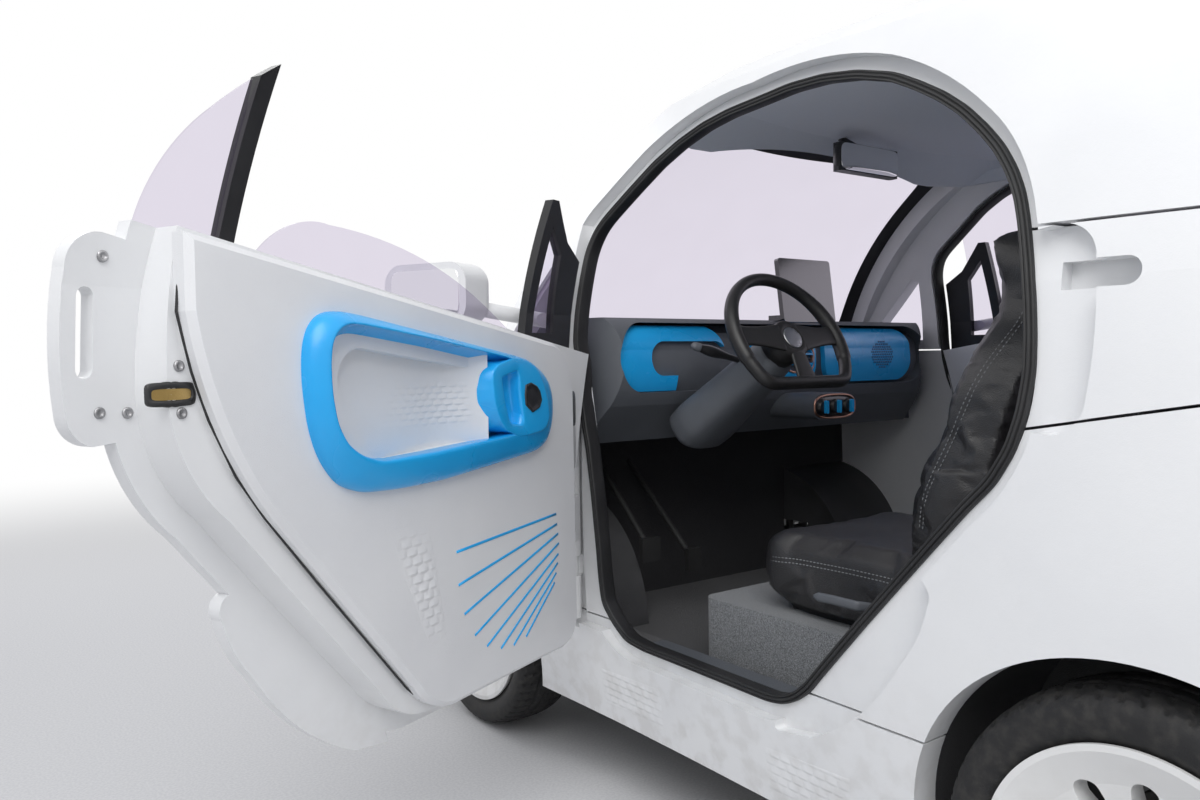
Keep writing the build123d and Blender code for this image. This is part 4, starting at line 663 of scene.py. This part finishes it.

# Speaker dimples: rounded pits in rows on the blue insert ahead of the passenger, moulded in one with it over
# the
# speaker. Their shade is painted: each pit is drawn as a small dark blue dome on the insert.
PITS = [(column * .0085 + (row % 2) * .00425, row * .0074) for row in range(-5, 6) for column in range(-6, 7)]
SPEAKER_X, SPEAKER_Z = -.405, .965
insert_faces = tree_of("dash_inserts")
circle = round_section(1, 1, 10)
points, faces = [], []
for x, z in PITS:
    if (x / .050) ** 2 + (z / .040) ** 2 >= 1:
        continue
    met = insert_faces.ray_cast(Vector((MIDDLE_X + SPEAKER_X + x, -.1, SPEAKER_Z + z)), Vector((0, -1, 0)))[0]
    if met is None:
        continue
    base = len(points)
    for size, proud in ((.0034, .0001), (.0026, .0007), (.0008, .0009)):
        points += [(met.x + size * c, met.y + proud, met.z + size * s) for c, s in circle]
    for low in (base, base + 10):
        faces += [(low + i, low + (i + 1) % 10, low + 10 + (i + 1) % 10, low + 10 + i) for i in range(10)]
    faces.append(tuple(base + 20 + i for i in range(10)))
dimple_shades = bpy.data.meshes.new("speaker_dimples")
dimple_shades.from_pydata(points, [], faces)
dimple_shades.polygons.foreach_set("use_smooth", np.ones(len(dimple_shades.polygons), bool))
# Painted shade: a darker blue that stands for the shadow inside each pit, not a colour of the insert.
deep_blue = moulded("deep_blue", (0.004, 0.085, 0.24), (0.006, 0.10, 0.28), 0.4)
fitted(dimple_shades, [deep_blue], "body", "trim_blue")


# Column cover: a grey moulded shroud with full round corners, wider than it is high, that runs from the
# dashboard up to the hub and is screwed together round the column.
def swept(line, section, up, loop=True):
    """A section of (outwards, along up) carried along a line of points; up is one direction for all of it."""
    line, up = np.asarray(line, float), np.asarray(up, float)
    slope = np.roll(line, -1, 0) - np.roll(line, 1, 0) if loop else np.gradient(line, axis=0)
    side = np.cross(slope, up)
    side /= np.linalg.norm(side, axis=1, keepdims=True)
    rise = np.cross(side, slope)
    rise /= np.linalg.norm(rise, axis=1, keepdims=True)
    section = np.asarray(section, float)
    if section.ndim == 2:
        section = section[None] + np.zeros((len(line), 1, 1))
    return line[:, None] + section[..., :1] * side[:, None] + section[..., 1:] * rise[:, None]


column = np.linspace((.330, -.118, .972), (.352, -.372, .782), 36)
share = np.linspace(0, 1, 36)
half = np.interp(share, [0, .06, .3, .85, .97, 1], [.042, .050, .060, .086, .084, .074])
deep = np.interp(share, [0, .06, .3, .85, .97, 1], [.036, .044, .050, .058, .056, .048])
section = np.stack([round_section(a, b, 40, 2.8) for a, b in zip(half, deep)])
closed("column_cover", about_car(swept(column, section, (0, 0, 1), False)), trim_dark, "body", "trim_dark",
       "steering_column")

# Steering wheel: a thick grip of stitched black leather with a flat foot, on three flat spokes and a round
# hub with a blank badge, all turning about the column.
WHEEL_AT = np.array([.330, -.080, 1.000])
WHEEL_AXES = np.array([(-1, 0, 0), (0, -.5, .8660254), (0, .8660254, .5)])


def on_wheel(points):
    """Points of the wheel's own plane: to the right, up and towards the driver."""
    return about_car(np.asarray(points, float) @ WHEEL_AXES + WHEEL_AT)


GRIP_RADIUS = .161
turns = np.radians(np.linspace(-132, 132, 60))
grip_line = outline(GRIP_RADIUS * np.stack([np.sin(turns), np.cos(turns)], 1), 220, 16)
grip_line = np.column_stack([grip_line, np.zeros(len(grip_line))])
swell = 1 + .12 * np.exp(-((np.abs(grip_line[:, 0]) - .155) / .03) ** 2) * (grip_line[:, 1] > -.05)
grip_section = round_section(.0138, .0150, 28)[None] * swell[:, None, None]
seam = np.exp(-((np.linspace(0, 360, 28, endpoint=False) - 180) / 8) ** 2) * .0012
grip_section *= (1 - seam / .014)[None, :, None]
closed("steering_grip", on_wheel(swept(grip_line, grip_section, (0, 0, 1))), wheel_black, "steering",
       "wheel_black", "steering_wheel", along=True)
hub = disc_grid([.046, .0475, .0480, .0465, .043, .036, .0285, .0275, .026],
                [-.044, -.02, .0, .0055, .0085, .0105, .0112, .0098, .0098], 64)
closed("steering_hub", on_wheel(hub[..., [1, 2, 0]]), wheel_black, "steering", "wheel_black")
badge = disc_grid([.0262, .0262, .0240, .012, .001], [.0085, .0112, .0120, .0126, .0128], 64)
badge_metal = metal("badge_metal", (0.42, 0.43, 0.44), (0.55, 0.56, 0.57), 900, 0.22)
closed("steering_badge", on_wheel(badge[..., [1, 2, 0]]), badge_metal, "steering", "wheel_black")
# Each spoke: its name, its angle in the wheel's plane, how far it reaches, and its half widths.
SPOKES = (("right", 4, .152, .034, .021), ("left", 176, .152, .034, .021), ("low", 270, .104, .020, .026))
SPOKE_START = .030
for name, angle, far, wide, narrow in SPOKES:
    along = np.linspace(SPOKE_START, far, 24)
    share = (along - SPOKE_START) / (far - SPOKE_START)
    half = wide + (narrow - wide) * np.sin(share * math.pi / 2) + .006 * share ** 6
    turn = math.radians(angle)
    line = np.stack([along * math.cos(turn), along * math.sin(turn), .001 + .004 * (1 - share)], 1)
    section = np.stack([round_section(h, .0055, 24, 3.2) for h in half])
    closed("steering_spoke_" + name, on_wheel(swept(line, section, (0, 0, 1), False)), wheel_black,
           "steering", "wheel_black")


# Indicator stalk: a slim black moulded lever that swells into its handle, with a grey cap pushed on its end.
# It leaves the column cover on the door's side.
def stalk(share, thick):
    """A round bar along the stalk's line at those shares of its length, as thick as given at each."""
    start, end = np.array([.372, -.183, .953]), np.array([.507, -.205, .9905])
    section = np.stack([round_section(t, t) for t in thick])
    return about_car(swept(start + (end - start) * share[:, None], section, (0, 0, 1), False))


share = np.linspace(0, 1, 30)
thick = .0068 + .0058 * np.exp(-((share - .62) / .22) ** 2)
thick[-3:] *= (.93, .75, .3)
closed("stalk_handle", stalk(share, thick), trim_black, "body", "trim_black")
share = np.linspace(.86, 1.02, 10)
thick = np.interp(share, [.86, .9, .98, 1.02], [.0098, .0100, .0085, .002])
closed("stalk_cap", stalk(share, thick), trim_dark, "body", "trim_black")

# Cabin mirror: a black moulded shell on the screen's top edge, with a slim silvered glass that is set in a
# thin bezel on the shell's rear.
mirror_line = outline([(-.118, 1.406), (.108, 1.406), (.108, 1.473), (-.118, 1.473)], 120, 14)
SHELL_STEPS = ((.02, .0002), (.90, .0), (.98, -.002), (1.0, -.008), (1.0, -.016), (.97, -.023), (.88, -.0285),
               (.60, -.033), (.02, -.035))
GLASS_STEPS = ((.955, -.002), (.955, .0006), (.94, .0011), (.5, .0012), (.02, .0012))
silver = Finish("mirror_silver", Base_Color=(.86, .87, .88), Metallic=1.0)
silver.set(Roughness=.02 + .02 * silver.noise(30, 2))
closed("cabin_mirror_shell", about_car(stepped(mirror_line, -.1225, SHELL_STEPS)), trim_black, "body",
       "trim_black")
closed("cabin_mirror_glass", about_car(stepped(mirror_line, -.1222, GLASS_STEPS)), silver.material, "body",
       "trim_black")


# Seats: moulded foam on a steel pan, sewn into black leather. The covers are drawn tight over the foam, which
# puffs them up a little between their edges.
def cover(name, node, side, cap, pressure=4.0, voxel=.0075):
    """One seat's half of a CAD pad, remeshed in even faces and puffed up as cloth by pressure, its movement
    capped, with one subdivision."""
    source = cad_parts[node]
    mesh = source.data.copy()
    mesh.transform(source.matrix_world)
    shape = bmesh.new()
    shape.from_mesh(mesh)
    bmesh.ops.remove_doubles(shape, verts=shape.verts, dist=1e-6)
    bmesh.ops.delete(shape, geom=[v for v in shape.verts if (v.co.x - MIDDLE_X) * side < 0], context="VERTS")
    bmesh.ops.recalc_face_normals(shape, faces=shape.faces)
    count = len(shape.verts)
    middle = Vector((MIDDLE_X + side * SEAT_X, sum(v.co.y for v in shape.verts) / count,
                     sum(v.co.z for v in shape.verts) / count))
    for corner in shape.verts:
        corner.co = middle + (corner.co - middle) * .985
    shape.to_mesh(mesh)
    shape.free()
    mesh.name = name
    mesh.materials.clear()
    pad = put(mesh)
    evened = pad.modifiers.new("evened", "REMESH")
    evened.mode, evened.voxel_size = "VOXEL", voxel
    settle(pad)
    start = np.empty(len(pad.data.vertices) * 3)
    pad.data.vertices.foreach_get("co", start)
    puffed = pad.modifiers.new("puffed", "CLOTH")
    puffed.settings.use_pressure = True
    puffed.settings.uniform_pressure_force = pressure
    puffed.settings.effector_weights.gravity = 0
    puffed.settings.quality = 4
    puffed.settings.mass = .3
    puffed.settings.tension_stiffness = puffed.settings.compression_stiffness = 12
    puffed.collision_settings.use_collision = False
    for step in range(1, 21):
        bpy.context.scene.frame_set(step)
    settle(pad)
    moved = np.empty(len(pad.data.vertices) * 3)
    pad.data.vertices.foreach_get("co", moved)
    gone = (moved - start).reshape(-1, 3)
    far = np.linalg.norm(gone, axis=1, keepdims=True)
    gone *= np.minimum(1, cap / np.maximum(far, 1e-9))
    pad.data.vertices.foreach_set("co", (start.reshape(-1, 3) + gone).ravel())
    bpy.context.scene.frame_set(1)
    pad.data.polygons.foreach_set("use_smooth", np.ones(len(pad.data.polygons), bool))
    pad.data.materials.append(leather)
    soften = pad.modifiers.new("soften", "SUBSURF")
    soften.levels = soften.render_levels = 1
    return pad


def settle(piece):
    """Applies a piece's modifiers to its mesh."""
    shaped = bpy.data.meshes.new_from_object(piece.evaluated_get(bpy.context.evaluated_depsgraph_get()))
    piece.modifiers.clear()
    piece.data = shaped


SEAT_X = .325
pads = {}
for hand, side in SIDES:
    for part, node, cap in (("cushion", "seat_cushions", .016), ("back", "seat_backs", .020)):
        pad = cover("seat_%s_%s" % (part, hand), node, side, cap)
        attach(pad, "body")
        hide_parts(node)
        pads[part, side] = pad


# Seams of the seats: two rows of pale grey thread along the front edge of each back's side panel and round
# the top edge of each cushion's side.
def stitches(name, pad, starts, aim, offsets=(-.0042, .0042), pitch=.0085, long=.0052, thick=.0009):
    """Rows of thread stitches laid on a pad where lines from the starts along the aim meet it. Each row is
    set off to one side of the line."""
    shape = pad.evaluated_get(bpy.context.evaluated_depsgraph_get()).data
    faces = BVHTree.FromPolygons([pad.matrix_world @ v.co for v in shape.vertices],
                                 [p.vertices[:] for p in shape.polygons])
    met = [faces.ray_cast(Vector(start), Vector(aim)) for start in about_car(starts)]
    spots = np.array([hit[0][:] for hit in met if hit[0] is not None])
    lifts = np.array([hit[1][:] for hit in met if hit[0] is not None])
    for _ in range(6):
        spots[1:-1] = (spots[:-2] + 2 * spots[1:-1] + spots[2:]) / 4
        lifts[1:-1] = (lifts[:-2] + 2 * lifts[1:-1] + lifts[2:]) / 4
    run = run_of(spots)
    at = np.arange(pitch, run[-1] - pitch, pitch)
    centre, lift = at_steps(spots, run, at), at_steps(lifts, run, at)
    slope = np.gradient(centre, axis=0)
    slope /= np.linalg.norm(slope, axis=1, keepdims=True)
    side = np.cross(lift, slope)
    side /= np.linalg.norm(side, axis=1, keepdims=True)
    lift = np.cross(slope, side)
    turn = np.linspace(0, 2 * math.pi, 6, endpoint=False)
    along = np.array([-.5, -.42, -.15, .15, .42, .5]) * long
    wide = np.array([.25, .8, 1, 1, .8, .25]) * thick
    points, quads = [], []
    grid = np.arange(36).reshape(6, 6)
    ring = np.concatenate([grid, grid[:, :1]], 1)
    cell = np.stack([ring[:-1, :-1], ring[:-1, 1:], ring[1:, 1:], ring[1:, :-1]], -1).reshape(-1, 4)
    for offset in offsets:
        middle = centre + side * offset + lift * (thick * .55)
        for point, ahead, out, up in zip(middle, slope, side, lift):
            around = np.cos(turn)[:, None] * out + np.sin(turn)[:, None] * up
            tube = point + along[:, None, None] * ahead + wide[:, None, None] * around
            quads.append(cell + 36 * len(points))
            points.append(tube.reshape(-1, 3))
    mesh = bpy.data.meshes.new(name)
    mesh.from_pydata(np.concatenate(points).tolist(), [], np.concatenate(quads).tolist())
    mesh.polygons.foreach_set("use_smooth", np.ones(len(mesh.polygons), bool))
    return fitted(mesh, [thread], "body", "seat_leather")


thread = moulded("grey_thread", (0.20, 0.21, 0.22), (0.30, 0.31, 0.32), 0.6, 2200, 0.0001)
BACK_SEAM = spline([(.582, 1.148), (.565, 1.136), (.545, 1.107), (.535, 1.067), (.527, 1.021), (.508, .962),
                    (.470, .880), (.432, .792), (.400, .72), (.385, .655)])
SIDE_SEAM = spline([(.400, .567), (.25, .568), (.12, .566), (.035, .560)], 50)
for hand, side in SIDES:
    for face, end in ((1, "outer"), (-1, "inner")):
        out = side * SEAT_X + side * face * .35
        aim = (-side * face, 0, 0)
        back, cushion = [(out, y + .010, z) for y, z in BACK_SEAM], [(out, y, z) for y, z in SIDE_SEAM]
        stitches("back_seam_%s_%s" % (hand, end), pads["back", side], back, aim)
        stitches("cushion_seam_%s_%s" % (hand, end), pads["cushion", side], cushion, aim)
    front = [(side * SEAT_X + x, -.2, .560) for x in np.linspace(-.19, .19, 60)]
    stitches("cushion_seam_front_" + hand, pads["cushion", side], front, (0, 1, 0))

# Seat lever: a short handle at the foot of the back, on the outer side. It is moulded in grey plastic and
# pushed on the recliner's shaft.
LEVER_LINE = spline([(.553, .315, .520), (.575, .300, .522), (.580, .250, .524), (.580, .205, .522)], 30)
thick = np.interp(np.linspace(0, 1, 30), [0, .2, .9, 1], [.007, .009, .0085, .003])
section = np.stack([round_section(.55 * t, t, 16, 2.6) for t in thick])
for hand, side in SIDES:
    lever = swept(LEVER_LINE * (side, 1, 1), section, (0, 0, 1), False)
    closed("seat_lever_" + hand, about_car(lever), trim_dark, "body", "trim_dark")

# Strikers: a short brass pin on each rear jamb that the latch closes on. It is turned with a head and a
# collar, and screwed into the jamb.
LATCH_AT = (.680, .928)
brass = metal("brass", (0.50, 0.34, 0.12), (0.66, 0.47, 0.20), 600, 0.28)
pin = disc_grid([.001, .0040, .0046, .0046, .0032, .0032, .0052, .0052, .001],
                [.000, .0004, .0016, .0070, .0080, .0220, .0230, .0300, .0304], 24)
for side in (1, -1):
    closed("striker_%d" % (side > 0), about_car((pin[..., [1, 0, 2]] + (.700, .676, .928)) * (side, 1, 1)),
           brass, "body", "trim_black")

# Inner side of the doors. Both doors are hung on upright hinges at the screen pillar. Their inner pieces
# are drawn once, on the left door when shut, in metres from the middle of the car, and then turned with
# the open left door or mirrored to the right one.
HINGE = (0.715, -0.380)
OPENED = math.radians(65.3)
TRIM_X = 0.625


def on_left(points):
    """Points of the shut left door, turned about the hinge as far as the door stands open."""
    points = np.asarray(points, float)
    x, y = points[..., 0] - HINGE[0], points[..., 1] - HINGE[1]
    return about_car(np.stack([HINGE[0] + x * math.cos(OPENED) + y * math.sin(OPENED),
                               HINGE[1] - x * math.sin(OPENED) + y * math.cos(OPENED), points[..., 2]], -1))


def on_right(points):
    """The mirror image of points of the shut left door."""
    return about_car(np.asarray(points, float) * (-1, 1, 1))


DOORS = (("left", on_left, "left_door"), ("right", on_right, "right_door"))

# Armrest ring: one glossy azure moulding screwed to the trim, broad and sloped at its rear and foot,
# with a rounded lip round the pocket and a wall down to the pocket's floor.
RING_FOOT = outline([(.468, 1.034), (.489, 1.012), (.497, .979), (.497, .934), (.488, .871), (.471, .827),
                     (.438, .787), (.388, .769), (.30, .765), (.199, .766), (.05, .777), (-.092, .789),
                     (-.130, .806), (-.148, .845), (-.150, .885), (-.140, .915), (-.114, .939), (-.054, .966),
                     (.217, 1.008), (.400, 1.036), (.439, 1.040)], ease=10)
RING_LIP = outline([(.447, 1.016), (.424, 1.020), (.258, 1.000), (.044, .969), (.010, .960), (-.004, .940),
                    (-.006, .895), (-.003, .850), (.018, .832), (.071, .828), (.239, .819), (.368, .816),
                    (.41, .828), (.44, .847), (.459, .877), (.468, .919), (.470, .961), (.466, .995)], ease=8)
RING_FLOOR = outline([(.400, .988), (.381, .990), (.227, .971), (.050, .944), (.030, .934), (.024, .915),
                      (.022, .850), (.030, .832), (.050, .826), (.330, .812), (.385, .836), (.418, .880),
                      (.430, .935), (.422, .972)], ease=8)
RING_PROFILE = [(0, -.002), (0, .004), (.03, .009), (.09, .0145), (.2, .019), (.4, .0245), (.6, .0285),
                (.78, .0315), (.89, .0327), (.95, .0322), (.98, .0305), (1, .027), (1.02, .022), (1.1, .014),
                (1.4, .0), (1.8, -.014), (1.97, -.0225), (2, -.0238)]
ring = frame_between((RING_FOOT, RING_LIP, RING_FLOOR), (.20, .90), RING_PROFILE, TRIM_X)
for hand, on_door, body in DOORS:
    closed("armrest_ring_" + hand, on_door(ring), trim_blue, body, "trim_blue", "door_%s_armrest" % hand,
           ends=False)

# Pull grip: a block at the ring's front end, moulded with the ring and flush with its lip. Its flat face
# has a slanted finger slot, and its rear wall bulges into the pocket.
PULL_FOOT = outline([(.027, .962), (.080, .965), (.100, .945), (.109, .915), (.109, .890), (.098, .860),
                     (.080, .836), (.009, .832), (-.034, .832), (-.070, .838), (-.085, .860), (-.085, .900),
                     (-.050, .945), (-.021, .955)], ease=4)
PULL_FACE = outline([(.027, .968), (.071, .957), (.087, .945), (.090, .930), (.085, .895), (.077, .873),
                     (.068, .857), (.050, .839), (.009, .824), (-.034, .825), (-.072, .829), (-.090, .837),
                     (-.099, .854), (-.095, .886), (-.082, .916), (-.068, .937), (-.051, .952), (-.021, .963),
                     (.005, .967)], ease=3)
PULL_SLOT = outline([(.061, .931), (.055, .935), (.020, .944), (.011, .944), (.006, .935), (.004, .909),
                     (-.001, .882), (-.006, .857), (-.005, .847), (.004, .845), (.033, .849), (.041, .857),
                     (.053, .893)], ease=2)
PULL_PROFILE = [(0, -.012), (.25, .006), (.5, .017), (.75, .0248), (.9, .0290), (1, .0314), (1.04, .0327),
                (1.12, .0331), (1.88, .0331), (1.95, .0326), (2, .0306), (2.03, .0260), (2.10, .0130),
                (2.22, .0100), (2.98, .0095)]
LATCH_DISH = outline([(-.012, .918), (-.009, .90), (-.011, .881), (-.034, .866), (-.058, .874), (-.066, .888),
                      (-.060, .905), (-.050, .915), (-.030, .922)], ease=7)
DISH_PROFILE = [(0, -.004), (0, .0012), (.05, .0026), (.12, .0029), (.2, .0019), (.3, .0009), (.5, .0007),
                (.7, .0013), (.98, .0018)]
DISH_X = .5919
slot_middle, dish_middle = PULL_SLOT.mean(0), LATCH_DISH.mean(0)
grip = frame_between((PULL_FOOT, PULL_FACE, PULL_SLOT, slot_middle + (PULL_SLOT - slot_middle) * .02),
                     slot_middle, PULL_PROFILE, TRIM_X)
dish = frame_between((LATCH_DISH, dish_middle + (LATCH_DISH - dish_middle) * .02), dish_middle, DISH_PROFILE,
                     DISH_X)
for hand, on_door, body in DOORS:
    closed("pull_grip_" + hand, on_door(grip), trim_blue, body, "trim_blue")
    closed("release_" + hand, on_door(dish), trim_black, body, "trim_black")


# Trim panel details: the pocket's rippled floor, the patch of embossed scales behind the ring and a fan of
# eight straight blue lines, all moulded in or printed on the white panel.
def relief(name, corners, face, height, on_door, rows=90, columns=120, lift=.0006):
    """A patch of Y and Z between four corners, raised by height(y, z, u, v) from the face, whose X is a
    number or a function of Y."""
    u, v = np.meshgrid(np.linspace(0, 1, columns), np.linspace(0, 1, rows))
    a, b, c, d = np.asarray(corners, float)[:, None, None, :]
    u, v = u[..., None], v[..., None]
    flat = (a * (1 - u) + b * u) * (1 - v) + (d * (1 - u) + c * u) * v
    y, z = flat[..., 0], flat[..., 1]
    fade = edge_fade(u, v)[..., 0]
    raised = height(y, z, u[..., 0], v[..., 0]) * fade + lift * np.minimum(1, 3 * fade) - .0004
    base = face(y) if callable(face) else face
    return surface(name, on_door(np.stack([base - raised, y, z], -1)))


def pocket_floor(y):
    """X of the pocket's floor, which curves up to the pull grip at its front end."""
    return TRIM_X + .0232 - .042 * np.clip(1 - (y - .085) / .13, 0, 1) ** 2.2


def soft_scales(y, z, u, v):
    """Scales that are deepest in the middle of their patch and fade out to its edges."""
    return scales(y, z) * 1.2 * (np.sin(math.pi * u) * np.sin(math.pi * v)) ** .7


def ripples(y, z, u, v):
    """Small scales between the pocket's middle and its front end, fading out towards the rear."""
    place = np.clip((.325 - y) / .16, 0, 1) * np.clip((y - .105) / .02, 0, 1)
    return scales(y * 1.25, z * 1.5) * .9 * place * np.clip((.040 - np.abs(z - .893)) / .012, 0, 1)


POCKET = [(.085, .978), (.425, 1.000), (.425, .812), (.085, .822)]
SCALED = [(0.227, 0.700), (0.337, 0.717), (0.232, 0.488), (0.184, 0.483)]
FAN = [((0.159, 0.637), (-0.164, 0.654)), ((0.155, 0.579), (-0.167, 0.633)),
       ((0.140, 0.525), (-0.171, 0.613)), ((0.111, 0.480), (-0.173, 0.593)),
       ((0.076, 0.451), (-0.171, 0.572)), ((0.033, 0.435), (-0.168, 0.554)),
       ((-0.008, 0.430), (-0.162, 0.535)), ((-0.050, 0.435), (-0.155, 0.517))]


def fan_line(start, end, face, width=.0026, count=12):
    """A flat strip from start to end, both in Y and Z, a little proud of the face."""
    line = np.linspace(start, end, count)
    slope = np.gradient(line, axis=0)
    side = np.stack([-slope[:, 1], slope[:, 0]], 1) / np.linalg.norm(slope, axis=1, keepdims=True)
    angles = np.linspace(0, 2 * math.pi, 8, endpoint=False)
    y, z = (line[:, None] + side[:, None] * (np.cos(angles) * width)[None, :, None]).transpose(2, 0, 1)
    return np.stack([face - .0012 * np.sin(angles) + 0 * y, y, z], -1)


for hand, on_door, body in DOORS:
    floor = relief("pocket_floor_" + hand, POCKET, pocket_floor, ripples, on_door, 130, 220)
    patch = relief("scale_patch_" + hand, SCALED, TRIM_X, soft_scales, on_door, 140, 130)
    for mesh in (floor, patch):
        fitted(mesh, [trim_white], body, "trim_white")
    for number, points in enumerate(FAN):
        strip = on_door(fan_line(*points, TRIM_X))
        closed("fan_line_%s_%d" % (hand, number), strip, trim_blue, body, "trim_blue")


# Door edges: a black latch plate with its brass mouth let into the inner face of the rear lobe, the screws
# round it, and the black bead along the trim's rear edge.
def face_of(tree, on_door, y, z, start=.40):
    """Shut-door X where a line from the cabin first meets the door."""
    origin, ahead = on_door((start, y, z)), on_door((start + 1, y, z))
    met = tree.ray_cast(Vector(origin), Vector(ahead - origin))
    return None if met[0] is None else start + met[3]


TRIM_EDGE = spline([(.655, 1.118), (.668, 1.09), (.674, 1.03), (.655, .955), (.632, .893), (.592, .815),
                    (.547, .754), (.45, .640), (.35, .526), (.267, .431), (.235, .402), (.205, .386),
                    (.150, .375)], 160)
BEAD_X = .6485
SCREWS = [(.733, 1.096), (.668, .963), (.733, .907), (.695, .905), (.666, .904)]
PLATE_PROFILE = [(0, -.004), (0, .0015), (.06, .0024), (.9, .0024), (1, .0012), (1, -.006)]
screw = disc_grid([.0075, .0072, .0062, .0040, .0034, .0005],
                  [.0004, -.0018, -.0026, -.0028, -.0012, -.0010], 30)
bead = swept(np.insert(TRIM_EDGE, 0, BEAD_X, 1), round_section(.0014, .0024, 10), (1, 0, 0), False)
for hand, on_door, body in DOORS:
    door_faces = tree_of("door_" + hand, "door_%s_trim" % hand)
    closed("trim_bead_" + hand, on_door(bead), seal_rubber, body, "seal_rubber")
    for number, (y, z) in enumerate(SCREWS):
        x = face_of(door_faces, on_door, y, z)
        if x is not None:
            closed("door_screw_%s_%d" % (hand, number), on_door(screw + (x, y, z)), hub_steel, body,
                   "trim_black")
    x = face_of(door_faces, on_door, *LATCH_AT) or .66
    lines = (oval(*LATCH_AT, .068, .030, 6), oval(*LATCH_AT, .056, .014, 5))
    plate = frame_between(lines, LATCH_AT, PLATE_PROFILE, x, 120)
    closed("latch_plate_" + hand, on_door(plate), trim_black, body, "trim_black", ends=False)
    mouth = stepped(oval(*LATCH_AT, .056, .014, 5, 60), x - .0004, ((1, 0), (.5, 0), (.02, 0)), 0)
    closed("latch_mouth_" + hand, on_door(mouth), brass, body, "trim_black", ends=False)

# Door hinges: two broad white arms at the front edge of each door, with a black rubber stop between them. The
# arms are pressed steel, bolted to the door and painted with it.
ARMS = ((.780, .050, body_white, "body_white"), (.857, .040, trim_black, "trim_black"),
        (.620, .050, body_white, "body_white"))
for hand, on_door, body in DOORS:
    for number, (z, high, finish, slot) in enumerate(ARMS):
        line = np.linspace((.640, -.235, z), (.676, -.330, z), 24)
        arm = swept(line, round_section(.0085, high, 32, 5), (0, 0, 1), False)
        closed("hinge_arm_%s_%d" % (hand, number), on_door(arm), finish, body, slot)

# Door mirrors: the same silvered glass, let into the rear face of the white housings and held by a clip
# behind it.
housing = outline([(.782, 1.045), (.978, 1.045), (.978, 1.155), (.782, 1.155)], 120, 22)
PANE_STEPS = ((.90, -.002), (.90, .0008), (.88, .0014), (.5, .0014), (.02, .0014))
for hand, on_door, body in DOORS:
    pane = on_door(stepped(housing, -.0802, PANE_STEPS))
    closed("door_mirror_glass_" + hand, pane, silver.material, body, "body_white")
